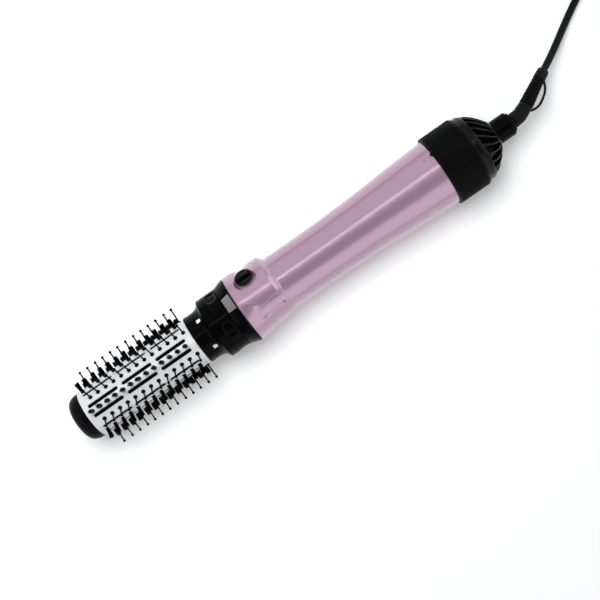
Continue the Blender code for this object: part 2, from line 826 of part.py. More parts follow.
def make_cord_socket():
    """The tube that the cord swivels in, on three arms across the air path."""
    tube = ((0.2960, SOCKET_R), (LENGTH, SOCKET_R), (LENGTH, 0.0063), (0.2960, 0.0063))
    socket = turned("cord_socket", "black_gloss", tube, 20)
    for i in range(3):
        frame = radial_frame(0, math.radians(90 + 120 * i))
        arm = rectangle(0.0026, 0.2962, 0.2986)
        cut(socket, extruded("tool", "black_gloss", arm, SOCKET_R - 0.001, 0.0191, frame), "UNION")


# ------------------------------------------------------------- cord and plug


def make_swivel():
    start = LENGTH + GAP
    bush = (
        (0.3400, 0.0000),
        (0.3400, 0.0058),
        (start, 0.0058),
        (start, 0.0070),
        (0.3516, 0.0070),
        (0.3516, 0.0000),
    )
    turned("swivel_bush", "black_satin", bush, 16)


def make_strain_relief():
    """A bent, tapered sleeve with a thin hanging loop along its outer side."""
    points = smooth_route(RELIEF_ROUTE, 0.0030)
    last = len(points) - 1
    narrowing = (RELIEF_R - RELIEF_TIP_R) * 1.3 / last  # done at about three quarters
    radii = [max(RELIEF_TIP_R, RELIEF_R - narrowing * i) for i in range(last + 1)]
    relief = swept("strain_relief", "rubber", points, radii, 10)
    hoop = smooth_route(LOOP_ROUTE, 0.0036)
    cut(relief, swept("tool", "rubber", hoop, [LOOP_R] * len(hoop), 6), "UNION")


def make_cord(name, route, skip):
    """A plain tube along a route, short of its ends by the two skipped lengths."""
    points = smooth_route(route, 2.2 * CORD_DIAMETER, skip)
    curve = bpy.data.curves.new(name, "CURVE")
    curve.dimensions = "3D"
    curve.bevel_depth = CORD_DIAMETER / 2
    curve.bevel_resolution = 2
    curve.use_fill_caps = True
    spline = curve.splines.new("POLY")
    spline.points.add(len(points) - 1)
    for target, point in zip(spline.points, points):
        target.co = (*point, 1)
    curve.materials.append(make_material("rubber"))
    bpy.context.collection.objects.link(bpy.data.objects.new(name, curve))


def make_coil():
    upright = Matrix.Rotation(math.radians(-90), 4, "Y")
    frame = Matrix.Translation((*COIL_CENTRE, 0)) @ upright
    ring = (
        (COIL_BOTTOM, COIL_INNER_R + 0.002),
        (COIL_BOTTOM, COIL_OUTER_R - 0.002),
        (COIL_BOTTOM + 0.002, COIL_OUTER_R),
        (COIL_TOP - 0.002, COIL_OUTER_R),
        (COIL_TOP, COIL_OUTER_R - 0.002),
        (COIL_TOP, COIL_INNER_R + 0.002),
        (COIL_TOP - 0.002, COIL_INNER_R),
        (COIL_BOTTOM + 0.002, COIL_INNER_R),
    )
    turned("cord_coil", "rubber", ring, 24, frame)


def make_tie():
    """A flat band round the coil, open along its middle."""
    low_r, high_r = COIL_INNER_R - 0.0020, COIL_OUTER_R + 0.0008
    out = Vector((math.cos(TIE_ANGLE), math.sin(TIE_ANGLE), 0))
    side = Vector((-out.y, out.x, 0))
    centre = Vector((*COIL_CENTRE, 0))
    outer = ((low_r, 0), (high_r, 0), (high_r, TIE_TOP), (low_r, TIE_TOP))
    low_r, high_r = low_r + TIE_THICKNESS, high_r - TIE_THICKNESS
    low_z, high_z = TIE_THICKNESS, TIE_TOP - TIE_THICKNESS
    inner = ((low_r, low_z), (high_r, low_z), (high_r, high_z), (low_r, high_z))
    bm = bmesh.new()
    loops = []
    for outline in (outer, inner):
        for across in (-TIE_WIDTH / 2, TIE_WIDTH / 2):
            places = [centre + out * r + side * across + Vector((0, 0, z)) for r, z in outline]
            loops.append([bm.verts.new(p) for p in places])
    for first, second in ((0, 1), (2, 3), (0, 2), (1, 3)):
        for i in range(4):
            j = (i + 1) % 4
            bm.faces.new((loops[first][i], loops[first][j], loops[second][j], loops[second][i]))
    add_object("cord_tie", "black_satin", bm, Matrix())


def make_plug():
    """A flat two-pin plug lying beside the coil, its pins towards -X."""
    rear_x, y = PLUG_REAR_X, TAIL_ROUTE[-1][1]
    sections = (  # distance from the cord end, half width, half height
        (0.000, 0.0035, 0.0035),
        (0.010, 0.0042, 0.0042),
        (0.012, 0.0085, 0.0058),
        (0.026, 0.0128, 0.0067),
        (0.036, 0.0128, 0.0067),
    )
    bm = bmesh.new()
    loops = []
    for back, wide, high in sections:
        chamfer = 0.35 * high
        shape = (
            (wide - chamfer, -high),
            (wide, chamfer - high),
            (wide, high - chamfer),
            (wide - chamfer, high),
        )
        shape += tuple((-a, -b) for a, b in shape)
        loops.append([bm.verts.new((rear_x - back, y + a, PLUG_HEIGHT + b)) for a, b in shape])
    bm.faces.new(loops[0])
    bm.faces.new(loops[-1])
    for loop, following in zip(loops, loops[1:]):
        for i in range(8):
            j = (i + 1) % 8
            bm.faces.new((loop[i], loop[j], following[j], following[i]))
    add_object("plug_body", "rubber", bm, Matrix())
    face = rear_x - sections[-1][0] - GAP
    for number, offset in enumerate((-PLUG_PIN_SPREAD, PLUG_PIN_SPREAD), start=1):
        frame = Matrix.Translation((face, y + offset, PLUG_HEIGHT))
        pin = ((0, 0), (0, 0.0020), (-0.0175, 0.0020), (-0.0190, 0.0012), (-0.0190, 0))
        turned(f"plug_pin_{number}", "brass", pin, 10, frame)


def main():
    clear_scene()
    make_end_cap()
    make_barrel()
    make_bristles()
    make_bristle_core()
    make_head_collar()
    make_collar_ring()
    make_inner_sleeve()
    make_nose()
    make_latch()
    make_casing()
    make_switch()
    make_heater()
    make_motor()
    make_fan()
    make_fan_duct()
    make_rear_collar()
    make_grille()
    make_cord_socket()
    make_swivel()
    make_strain_relief()
    make_cord("cord_lead", LEAD_ROUTE, (GAP, COIL_MEET))
    make_coil()
    make_tie()
    make_cord("cord_tail", TAIL_ROUTE, (COIL_MEET, 0.0))
    make_plug()


main()
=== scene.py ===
"""The look of the hot air brush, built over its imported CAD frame.

Stations are distances in metres from the tip of the end cap along the device's axis, and
angles run round the axis from +Y towards +Z, as in the CAD.
"""

import json
import math
import random

import bmesh
import bpy
from mathutils import Matrix, Vector


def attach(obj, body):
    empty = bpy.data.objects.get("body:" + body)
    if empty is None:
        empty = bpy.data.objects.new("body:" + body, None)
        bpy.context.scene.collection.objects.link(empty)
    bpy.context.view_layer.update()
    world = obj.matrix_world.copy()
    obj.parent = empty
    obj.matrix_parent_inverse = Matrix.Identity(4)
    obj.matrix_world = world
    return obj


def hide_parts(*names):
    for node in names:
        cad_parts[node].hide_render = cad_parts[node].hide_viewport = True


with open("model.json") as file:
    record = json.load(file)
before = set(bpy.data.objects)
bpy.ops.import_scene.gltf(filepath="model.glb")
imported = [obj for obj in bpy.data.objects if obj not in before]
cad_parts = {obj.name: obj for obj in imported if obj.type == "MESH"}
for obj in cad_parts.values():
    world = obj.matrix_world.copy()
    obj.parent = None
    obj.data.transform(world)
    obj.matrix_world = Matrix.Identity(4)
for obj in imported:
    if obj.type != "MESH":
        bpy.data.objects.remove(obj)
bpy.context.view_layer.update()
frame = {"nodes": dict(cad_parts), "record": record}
NODES = frame["nodes"]

HALF = 0.175
AXIS_Z = 0.0255
AXIS = Matrix.Translation((-HALF, 0, AXIS_Z))
GAP = 0.0003


# ------------------------------------------------------------- mesh helpers


class Shape:
    """Points and faces that grow into one mesh."""

    def __init__(self):
        self.points = []
        self.faces = []

    def add(self, points, faces):
        first = len(self.points)
        self.points += [tuple(p) for p in points]
        self.faces += [tuple(first + i for i in face) for face in faces]

    def loft(self, rings, cyclic=False):
        """Joins rings of equal count, and closes both ends or joins the last ring to the first."""
        count = len(rings[0])
        faces = []
        last = len(rings) if cyclic else len(rings) - 1
        for k in range(last):
            a, b = k * count, (k + 1) % len(rings) * count
            for i in range(count):
                j = (i + 1) % count
                faces.append((a + i, a + j, b + j, b + i))
        if not cyclic:
            faces.append(tuple(range(count))[::-1])
            faces.append(tuple((len(rings) - 1) * count + i for i in range(count)))
        self.add([p for ring in rings for p in ring], faces)


def on_axis(station, angle, radius):
    """A point in the axis frame, whose X is the station."""
    return Vector((station, radius * math.cos(angle), radius * math.sin(angle)))


def radial_frame(station, angle):
    """A frame on the device's axis whose X points outwards at the angle."""
    out = Vector((0, math.cos(angle), math.sin(angle)))
    along = Vector((1, 0, 0))
    turn = Matrix((out, out.cross(along), along)).transposed().to_4x4()
    return Matrix.Translation((station - HALF, 0, AXIS_Z)) @ turn


def soften(outline, steps=4):
    """Rounds each corner (x, y, cut) of a closed outline with a short curve."""
    result = []
    count = len(outline)
    for i, corner in enumerate(outline):
        here, size = Vector(corner[:2]), corner[2] if len(corner) > 2 else 0
        if size == 0:
            result.append(tuple(here))
            continue
        before = Vector(outline[i - 1][:2]) - here
        after = Vector(outline[(i + 1) % count][:2]) - here
        size = min(size, 0.48 * before.length, 0.48 * after.length)
        a, b = here + before.normalized() * size, here + after.normalized() * size
        for k in range(steps + 1):
            t = k / steps
            result.append(tuple((1 - t) ** 2 * a + 2 * t * (1 - t) * here + t * t * b))
    return result


def lathe(shape, profile, sides, place=AXIS, relief=None):
    """Turns a closed profile of (station, radius, cut) about a frame's X."""
    rings = []
    for k in range(sides):
        a = 2 * math.pi * k / sides
        ring = []
        for station, radius in soften(profile):
            r = relief(station, radius, a) if relief and radius > 0 else radius
            ring.append(place @ on_axis(station, a, r))
        rings.append(ring)
    shape.loft(rings, cyclic=True)


def tube(shape, points, radii, sides):
    """A closed round bar along points."""
    tangents = []
    for i in range(len(points)):
        step = points[min(i + 1, len(points) - 1)] - points[max(i - 1, 0)]
        tangents.append(step.normalized())
    up = Vector((0, 0, 1)) if abs(tangents[0].z) < 0.9 else Vector((1, 0, 0))
    side = tangents[0].cross(up).normalized()
    turns = [2 * math.pi * k / sides for k in range(sides)]
    rings = []
    for point, along, radius in zip(points, tangents, radii):
        side = (side - along * side.dot(along)).normalized()
        top = side.cross(along)
        rings.append([point + radius * (side * math.cos(t) + top * math.sin(t)) for t in turns])
    shape.loft(rings)


def smooth_route(route, spacing):
    """Points about a spacing apart on a smooth curve through a route."""
    points = [Vector(p) for p in route]
    points = [2 * points[0] - points[1], *points, 2 * points[-1] - points[-2]]
    fine = []
    for a, b, c, d in zip(points, points[1:], points[2:], points[3:]):
        for i in range(20):
            t = i / 20
            bend = (2 * a - 5 * b + 4 * c - d) * t * t + (3 * b - a - 3 * c + d) * t**3
            fine.append(0.5 * (2 * b + (c - a) * t + bend))
    fine.append(points[-2])
    reach = sum((q - p).length for p, q in zip(fine, fine[1:]))
    count = max(2, round(reach / spacing))
    marks = [reach * i / count for i in range(count + 1)]
    result, walked = [], 0.0
    for p, q in zip(fine, fine[1:]):
        step = (q - p).length
        while len(result) <= count and walked + step >= marks[len(result)] - 1e-9:
            result.append(p.lerp(q, min(1.0, (marks[len(result)] - walked) / step)))
        walked += step
    return result


def piece(name, shape, material, body, replaces=(), crease=38, cutters=()):
    """Turns a shape into a finished piece that rides on a body."""
    mesh = bpy.data.meshes.new(name)
    mesh.from_pydata(shape.points, [], shape.faces)
    bm = bmesh.new()
    bm.from_mesh(mesh)
    bmesh.ops.remove_doubles(bm, verts=bm.verts, dist=1e-7)
    bmesh.ops.dissolve_degenerate(bm, edges=bm.edges, dist=1e-8)
    bmesh.ops.recalc_face_normals(bm, faces=bm.faces)
    bm.to_mesh(mesh)
    bm.free()
    obj = bpy.data.objects.new(name, mesh)
    bpy.context.collection.objects.link(obj)
    for cutter in cutters:
        carve(obj, cutter)
    obj.data.materials.clear()
    obj.data.materials.append(material)
    obj.data.shade_smooth()
    obj.data.set_sharp_from_angle(angle=math.radians(crease))
    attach(obj, body)
    if replaces:
        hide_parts(*replaces)
    return obj


def carve(obj, cutter):
    """Takes one closed shape out of an object."""
    mesh = bpy.data.meshes.new("tool")
    mesh.from_pydata(cutter.points, [], cutter.faces)
    bm = bmesh.new()
    bm.from_mesh(mesh)
    bmesh.ops.recalc_face_normals(bm, faces=bm.faces)
    bm.to_mesh(mesh)
    bm.free()
    tool = bpy.data.objects.new("tool", mesh)
    bpy.context.collection.objects.link(tool)
    step = obj.modifiers.new("cut", "BOOLEAN")
    step.operation = "DIFFERENCE"
    step.object = tool
    bpy.context.view_layer.update()
    evaluated = obj.evaluated_get(bpy.context.evaluated_depsgraph_get())
    result = bpy.data.meshes.new_from_object(evaluated)
    obj.modifiers.remove(step)
    obj.data = result
    bpy.data.objects.remove(tool, do_unlink=True)


def stadium(length, width, steps=8):
    """A round-ended outline of (x, y), long in x; a circle when the two are equal."""
    r = width / 2
    reach = length / 2 - r
    result = []
    for centre, start in ((reach, -90), (-reach, 90)):
        for k in range(steps + 1):
            a = math.radians(start + 180 * k / steps)
            result.append((centre + r * math.cos(a), r * math.sin(a)))
    return result


def prism(shape, outline, low, high, place):
    """Extrudes an outline of (along the device, across) along a frame's X."""
    rings = [[place @ Vector((x, b, a)) for a, b in outline] for x in (low, high)]
    shape.loft(rings)


def clamp(value, low=0.0, high=1.0):
    return max(low, min(high, value))


def ease(t):
    """A smooth rise from 0 to 1 as t goes from 0 to 1."""
    t = clamp(t)
    return t * t * (3 - 2 * t)


def slope(t, corner=0.16):
    """A straight ramp from 0 to 1 with rounded corners."""
    t = clamp(t)
    if t > 0.5:
        return 1 - slope(1 - t, corner)
    rise = t * t / (2 * corner) if t < corner else t - corner / 2
    return rise / (1 - corner)


# ---------------------------------------------------------------- materials


class Finish:
    """A node material round one Principled shader, patterned in object space."""

    def __init__(self, name, colour, roughness, **inputs):
        self.material = bpy.data.materials.new(name)
        self.material.use_nodes = True
        self.tree = self.material.node_tree
        self.shader = self.tree.nodes["Principled BSDF"]
        self.place = self.node("TexCoord").outputs["Object"]
        self.colour = self.rgb(colour)
        self.set("Roughness", roughness)
        for key, value in inputs.items():
            self.set(key.replace("_", " "), value)
        self.link(self.colour, self.shader.inputs["Base Color"])

    def node(self, kind, **values):
        made = self.tree.nodes.new("ShaderNode" + kind)
        for key, value in values.items():
            setattr(made, key, value)
        return made

    def link(self, output, target):
        self.tree.links.new(output, target)

    def set(self, key, value):
        target = self.shader.inputs[key]
        if isinstance(value, bpy.types.NodeSocket):
            self.link(value, target)
        else:
            target.default_value = value

    def rgb(self, colour):
        made = self.node("RGB")
        made.outputs[0].default_value = (*colour, 1)
        return made.outputs[0]

    def noise(self, scale, detail=3.0, stretch=None):
        made = self.node("TexNoise")
        made.inputs["Scale"].default_value = scale
        made.inputs["Detail"].default_value = detail
        source = self.place
        if stretch:
            mapping = self.node("Mapping")
            mapping.inputs["Scale"].default_value = stretch
            self.link(self.place, mapping.inputs["Vector"])
            source = mapping.outputs[0]
        self.link(source, made.inputs["Vector"])
        return made.outputs["Fac"]

    def scaled(self, value, low, high, start=0.0, end=1.0):
        made = self.node("MapRange")
        for key, number in zip(("From Min", "From Max", "To Min", "To Max"), (start, end, low, high)):
            made.inputs[key].default_value = number
        self.link(value, made.inputs["Value"])
        return made.outputs["Result"]

    def mix(self, share, second):
        """Lays a second colour over the present one by a share."""
        made = self.node("Mix", data_type="RGBA")
        self.link(share, made.inputs["Factor"])
        self.link(self.colour, made.inputs[6])
        if isinstance(second, tuple):
            second = self.rgb(second)
        self.link(second, made.inputs[7])
        self.colour = made.outputs[2]
        self.link(self.colour, self.shader.inputs["Base Color"])

    def near(self, point, radius):
        """1 within a radius of a point, else 0."""
        away = self.node("VectorMath", operation="DISTANCE")
        self.link(self.place, away.inputs[0])
        away.inputs[1].default_value = point
        return self.scaled(away.outputs["Value"], 1.0, 0.0, radius * 0.75, radius)

    def bump(self, height, strength, distance):
        made = self.node("Bump")
        made.inputs["Strength"].default_value = strength
        made.inputs["Distance"].default_value = distance
        self.link(height, made.inputs["Height"])
        if self.shader.inputs["Normal"].is_linked:
            self.link(self.shader.inputs["Normal"].links[0].from_socket, made.inputs["Normal"])
        self.link(made.outputs[0], self.shader.inputs["Normal"])


def pink_finish():
    """Mauve lacquer: a fine metallic flake under a clear coat, slightly cloudy."""
    made = Finish("pink_lacquer", (0.42, 0.252, 0.355), 0.3, Metallic=0.6, Specular_IOR_Level=0.9)
    made.set("Coat Weight", 0.9)
    made.set("Coat Roughness", 0.15)
    made.mix(made.scaled(made.noise(60, 2), 0.0, 0.35), (0.44, 0.28, 0.40))
    made.mix(made.scaled(made.noise(9000, 1), 0.0, 0.45, 0.45, 0.75), (0.55, 0.39, 0.50))
    for station, angle, radius, size in LEGENDS:
        point = AXIS @ on_axis(station, angle, radius)
        made.mix(made.near(point, size), (0.16, 0.22, 0.30))
    made.set("Roughness", made.scaled(made.noise(400, 3), 0.27, 0.34))
    made.bump(made.noise(5000, 2), 0.10, 0.00002)
    return made.material


def moulded(name, colour, low, high, grain=2500, depth=0.00003, shine=0.5):
    """Moulded plastic or rubber with a fine grain and uneven shine."""
    made = Finish(name, colour, low, Specular_IOR_Level=shine)
    lighter = tuple(min(1.0, c * 1.7 + 0.001) for c in colour)
    made.mix(made.scaled(made.noise(90, 4), 0.0, 0.5, 0.3, 0.8), lighter)
    made.set("Roughness", made.scaled(made.noise(240, 4), low, high, 0.3, 0.7))
    made.bump(made.noise(grain, 3), 0.25, depth)
    return made.material


def metal(name, colour, low, high, stretch=(1, 1, 1)):
    made = Finish(name, colour, low, Metallic=1.0)
    made.mix(made.scaled(made.noise(300, 3), 0.0, 0.4, 0.35, 0.75), tuple(c * 0.7 for c in colour))
    made.set("Roughness", made.scaled(made.noise(900, 3, stretch), low, high, 0.3, 0.7))
    made.bump(made.noise(900, 2, stretch), 0.15, 0.00003)
    return made.material


def sleeve_glow_finish():
    """Milky white nylon with a painted glow: a faint, even emission, though it is no lamp, brightens
    what shows through the collar's windows.
    """
    made = Finish("sleeve_painted_glow", (0.90, 0.90, 0.90), 0.5, Emission_Color=(1, 1, 1, 1))
    # painted glow: the sleeve gives off light of its own everywhere on it
    made.set("Emission Strength", 0.35)
    made.mix(made.scaled(made.noise(80, 3), 0.0, 0.3), (0.84, 0.84, 0.85))
    return made.material


def barrel_finish():
    """White-coated aluminium with a satin, faintly brushed skin."""
    made = Finish("barrel_white", (0.79, 0.79, 0.80), 0.3, Metallic=0.12)
    made.set("Coat Weight", 0.3)
    made.set("Coat Roughness", 0.2)
    made.mix(made.scaled(made.noise(70, 3), 0.0, 0.4, 0.35, 0.8), (0.70, 0.703, 0.72))
    made.set("Roughness", made.scaled(made.noise(500, 3, (0.1, 1, 1)), 0.28, 0.42))
    made.bump(made.noise(1500, 2, (0.08, 1, 1)), 0.12, 0.00002)
    return made.material


LEGENDS = (  # station, angle, radius and size of the small printed dots
    (0.1577, math.radians(33), 0.0235, 0.0008),
    (0.1700, math.radians(23), 0.0194, 0.0008),
    (0.1370, math.radians(28), 0.0245, 0.0007),
    (0.2868, math.radians(61), 0.0235, 0.0010),
)
PINK = pink_finish()
BLACK = (0.0006, 0.0006, 0.0007)
GLOSS = moulded("black_gloss", BLACK, 0.14, 0.22, 1200, 0.000005, shine=0.045)
TRIM = moulded("black_trim", BLACK, 0.20, 0.30, 1200, 0.000005, shine=0.16)
SATIN = moulded("black_satin", (0.0014, 0.0014, 0.0016), 0.34, 0.48, 3500, 0.00004, shine=0.065)
NYLON = moulded("bristle", BLACK, 0.35, 0.55, 6000, 0.00002, shine=0.05)
RUBBER = moulded("rubber", (0.0026, 0.0026, 0.0029), 0.46, 0.60, 3000, 0.00005, shine=0.12)
GREY = moulded("latch_grey", (0.17, 0.17, 0.175), 0.36, 0.50, 3500, 0.00004)
MICA = moulded("mica", (0.55, 0.45, 0.32), 0.45, 0.75, 500, 0.0001)
BOARD = moulded("board", (0.06, 0.22, 0.10), 0.45, 0.65, 900, 0.00005)
STEEL = metal("steel", (0.56, 0.57, 0.58), 0.24, 0.42)
BRASS = metal("brass", (0.72, 0.63, 0.45), 0.22, 0.36, (1, 0.1, 1))
WHITE = barrel_finish()


# --------------------------------------------------------- camera and lights


def make_camera():
    """A view from nearly straight above, with the device slanting up to the right."""
    eye, target = Vector((0.0133, -0.0169, 0.8525)), Vector((-0.0063, -0.0169, AXIS_Z))
    back = (eye - target).normalized()
    up = Vector((0.571, 0.821, 0))
    right = up.cross(back).normalized()
    data = bpy.data.cameras.new("camera")
    data.lens = 74.4
    camera = bpy.data.objects.new("camera", data)
    turn = Matrix((right, back.cross(right), back)).transposed().to_4x4()
    camera.matrix_world = Matrix.Translation(eye) @ turn
    bpy.context.collection.objects.link(camera)
    bpy.context.scene.camera = camera


def softbox(name, place, size, watts, diffuse=True, glossy=True):
    """A rectangular lamp that faces the middle of the floor."""
    data = bpy.data.lights.new(name, "AREA")
    data.shape = "RECTANGLE"
    data.size, data.size_y = size
    data.energy = watts
    data.color = (0.97, 0.985, 1.0)
    lamp = bpy.data.objects.new(name, data)
    lamp.visible_diffuse = diffuse
    lamp.visible_glossy = glossy
    lamp.location = place
    lamp.rotation_euler = (-Vector(place)).to_track_quat("-Z", "Y").to_euler()
    bpy.context.collection.objects.link(lamp)


def make_stage():
    """A pale floor, one soft key lamp, and boxes all round that only reflections see."""
    reach = 3.0
    corners = ((-reach, -reach, 0), (reach, -reach, 0), (reach, reach, 0), (-reach, reach, 0))
    mesh = bpy.data.meshes.new("floor")
    mesh.from_pydata(corners, [], [(0, 1, 2, 3)])
    paper = Finish("floor_paper", (0.93, 0.93, 0.93), 0.8, Specular_IOR_Level=0.0)
    paper.set("Emission Color", (1, 1, 1, 1))
    paper.set("Emission Strength", 0.215)
    paper.mix(paper.scaled(paper.noise(30, 2), 0.0, 0.2), (0.90, 0.90, 0.90))
    mesh.materials.append(paper.material)
    floor = bpy.data.objects.new("floor", mesh)
    bpy.context.collection.objects.link(floor)
    softbox("key", (-0.05, 0.36, 1.15), (0.6, 0.6), 10.5, glossy=False)
    softbox("left_box", (-0.10, 1.05, 0.75), (2.0, 1.2), 4.6, diffuse=False)
    softbox("right_box", (0.10, -1.15, 0.62), (1.9, 1.2), 7.3, diffuse=False)
    softbox("streak", (0.0, 0.27, 0.95), (1.7, 0.06), 1.9, diffuse=False)
    softbox("front_box", (-1.00, 0.0, 0.38), (1.2, 1.1), 3.5, diffuse=False)
    softbox("rear_box", (1.00, 0.0, 0.38), (1.2, 1.1), 6.0, diffuse=False)
    world = bpy.data.worlds.new("studio")
    bpy.context.scene.world = world
    world.use_nodes = True
    sky = world.node_tree.nodes["Background"]
    sky.inputs["Color"].default_value = (0.99, 0.99, 1.0, 1)
    sky.inputs["Strength"].default_value = 0.34
    bpy.context.scene.view_settings.view_transform = "Standard"


# --------------------------------------------------------------- mains cord

CORD_DIAMETER = 0.0050
RELIEF_ROUTE = (
    (0.1771, 0.0000, 0.0255),
    (0.1835, 0.0006, 0.0253),
    (0.1900, 0.0033, 0.0245),
    (0.1976, 0.0073, 0.0228),
    (0.2053, 0.0114, 0.0203),
    (0.2150, 0.0161, 0.0166),
)
LEAD_ROUTE = (
    (0.2150, 0.0161, 0.0166),
    (0.2220, 0.0196, 0.0135),
    (0.2300, 0.0239, 0.0101),
    (0.2385, 0.0288, 0.0069),
    (0.2475, 0.0342, 0.0043),
    (0.2570, 0.0398, 0.0029),
    (0.2670, 0.0455, 0.0027),
    (0.2780, 0.0518, 0.0029),
    (0.2910, 0.0594, 0.0032),
)
TAIL_ROUTE = (
    (0.3513, 0.0157, 0.0132),
    (0.3474, 0.0052, 0.0106),
    (0.3438, -0.0017, 0.0092),
    (0.3385, -0.0075, 0.0081),
    (0.3325, -0.0118, 0.0074),
    (0.3280, -0.0137, 0.0070),
    (0.3240, -0.0143, 0.0069),
    (0.3200, -0.0143, 0.0069),
    (0.3150, -0.0143, 0.0069),
)
COIL_CENTRE = (0.3220, 0.0370)
COIL_START = 120.0  # degrees; the cord winds clockwise from here
COIL_TURNS = (  # radius and height of the cord's middle in each turn
    (0.0348, 0.0034),
    (0.0298, 0.0034),
    (0.0248, 0.0034),
    (0.0198, 0.0034),
    (0.0198, 0.0084),
    (0.0248, 0.0084),
    (0.0298, 0.0084),
    (0.0348, 0.0084),
    (0.0298, 0.0134),
    (0.0348, 0.0134),
)
LAST_TURN = 140.0  # degrees
SHIFT = 70.0  # the last degrees of a turn, where the cord moves over to the next


def coil_route():
    """The cord's middle through its turns, with a point every 5 degrees or so."""
    points = []
    total = 360 * (len(COIL_TURNS) - 1) + LAST_TURN
    count = round(total / 5)
    for i in range(count + 1):
        swept = total * i / count
        turn = min(int(swept // 360), len(COIL_TURNS) - 1)
        radius, height = COIL_TURNS[turn]
        if turn < len(COIL_TURNS) - 1:
            next_radius, next_height = COIL_TURNS[turn + 1]
            t = (swept - 360 * turn - (360 - SHIFT)) / SHIFT
            climb = 2 * t if radius != next_radius and height != next_height else t
            across = 2 * t - 1 if climb != t else t
            height += (next_height - height) * ease(climb)
            radius += (next_radius - radius) * ease(across)
        a = math.radians(COIL_START - swept)
        x, y = COIL_CENTRE
        points.append(Vector((x + radius * math.cos(a), y + radius * math.sin(a), height)))
    return points


def make_cord():
    """The whole mains cord in one curve, from inside the strain relief to the plug."""
    inside = Vector(RELIEF_ROUTE[-1]).lerp(Vector(RELIEF_ROUTE[-2]), 0.45)
    route = [inside, *LEAD_ROUTE, *coil_route(), *TAIL_ROUTE]
    points = smooth_route(route, 0.0018)
    curve = bpy.data.curves.new("mains_cord", "CURVE")
    curve.dimensions = "3D"
    curve.bevel_depth = CORD_DIAMETER / 2
    curve.bevel_resolution = 4
    curve.use_fill_caps = True
    spline = curve.splines.new("POLY")
    spline.points.add(len(points) - 1)
    for target, point in zip(spline.points, points):
        target.co = (*point, 1)
    curve.materials.append(RUBBER)
    cord = bpy.data.objects.new("mains_cord", curve)
    bpy.context.collection.objects.link(cord)
    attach(cord, "cord")
    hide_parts("cord_lead", "cord_coil", "cord_tail")
    return cord


# --------------------------------------------------------------- brush head

BARREL_START, BARREL_END = 0.0106, 0.0970
BARREL_R = 0.01685
HEAD_ROLL = math.radians(86.4)
ROW_COUNT = 6
SECTOR = 2 * math.pi / ROW_COUNT
ELEMENTS = 13
PITCH = 0.00622
TUFT_FIRST, PIN_FIRST = 0.0156, 0.0190
TUFT_TIP_R, PIN_TIP_R = 0.0249, 0.0281
SLOT_FIRST, SLOT_LENGTH, SLOT_PITCH, SLOT_WIDTH = 0.0144, 0.0236, 0.0271, 0.0025
TUFT_HOLE, PIN_HOLE = 0.0029, 0.0031
SLOT_ANGLE = math.radians(12.5)
GOLDEN_ANGLE = 2.39996  # spreads the filaments of a tuft evenly


def make_end_cap():
    shape = Shape()
    profile = (
        (0.0006, 0.0000),
        (0.0006, 0.0062, 0.0008),
        (0.0000, 0.0072, 0.0008),
        (0.0001, 0.0090, 0.0010),
        (0.0009, 0.0124, 0.0014),
        (0.0029, 0.0150, 0.0014),
        (0.0056, 0.0163, 0.0012),
        (0.0078, 0.01675, 0.0004),
        (0.0080, 0.0162, 0.0001),
        (0.0086, 0.0162, 0.0001),
        (0.0087, 0.01685, 0.0003),
        (0.0103, 0.01685, 0.0003),
        (0.0103, 0.0137),
        (0.0150, 0.0137, 0.0003),
        (0.0150, 0.0122),
        (0.0040, 0.0122),
        (0.0022, 0.0000),
    )
    lathe(shape, profile, 128)
    piece("cap_piece", shape, SATIN, "brush_head", ["end_cap"])


def make_barrel():
    """The coated tube with round-ended air slots and round bristle holes."""
    shape = Shape()
    inner = BARREL_R - 0.0007
    profile = (
        (BARREL_START, BARREL_R, 0.0002),
        (BARREL_END, BARREL_R, 0.0002),
        (BARREL_END, inner),
        (BARREL_START, inner),
    )
    lathe(shape, profile, 192)
    openings = Shape()
    for row in range(ROW_COUNT):
        angle = HEAD_ROLL + SECTOR * row
        for side in (-SLOT_ANGLE, SLOT_ANGLE):
            for i in range(3):
                place = radial_frame(SLOT_FIRST + SLOT_LENGTH / 2 + SLOT_PITCH * i, angle + side)
                prism(openings, stadium(SLOT_LENGTH, SLOT_WIDTH), 0.0150, 0.0180, place)
        for first, turn, wide in ((TUFT_FIRST, 0, TUFT_HOLE), (PIN_FIRST, SECTOR / 2, PIN_HOLE)):
            for i in range(ELEMENTS):
                place = radial_frame(first + PITCH * i, angle + turn)
                prism(openings, stadium(wide, wide), 0.0150, 0.0180, place)
    piece("barrel_tube", shape, WHITE, "brush_head", ["barrel"], 30, [openings])


def stack(shape, place, levels, sides, lean=(0.0, 0.0)):
    """A round pillar along a frame's X from (height, radius) levels, leaning as it rises."""
    rings = []
    foot = levels[0][0]
    turns = [2 * math.pi * k / sides for k in range(sides)]
    for height, radius in levels:
        rise = height - foot
        ring = []
        for t in turns:
            side = lean[0] * rise + radius * math.cos(t)
            along = lean[1] * rise + radius * math.sin(t)
            ring.append(place @ Vector((height, side, along)))
        rings.append(ring)
    shape.loft(rings)


def add_rail(shape, angle):
    """The strip under the barrel that carries one row."""
    end = 0.0945
    middle, length = (BARREL_START + end) / 2, end - BARREL_START - 2 * GAP
    prism(shape, stadium(length, 0.0026, 4), 0.0144, 0.0157, radial_frame(middle, angle))


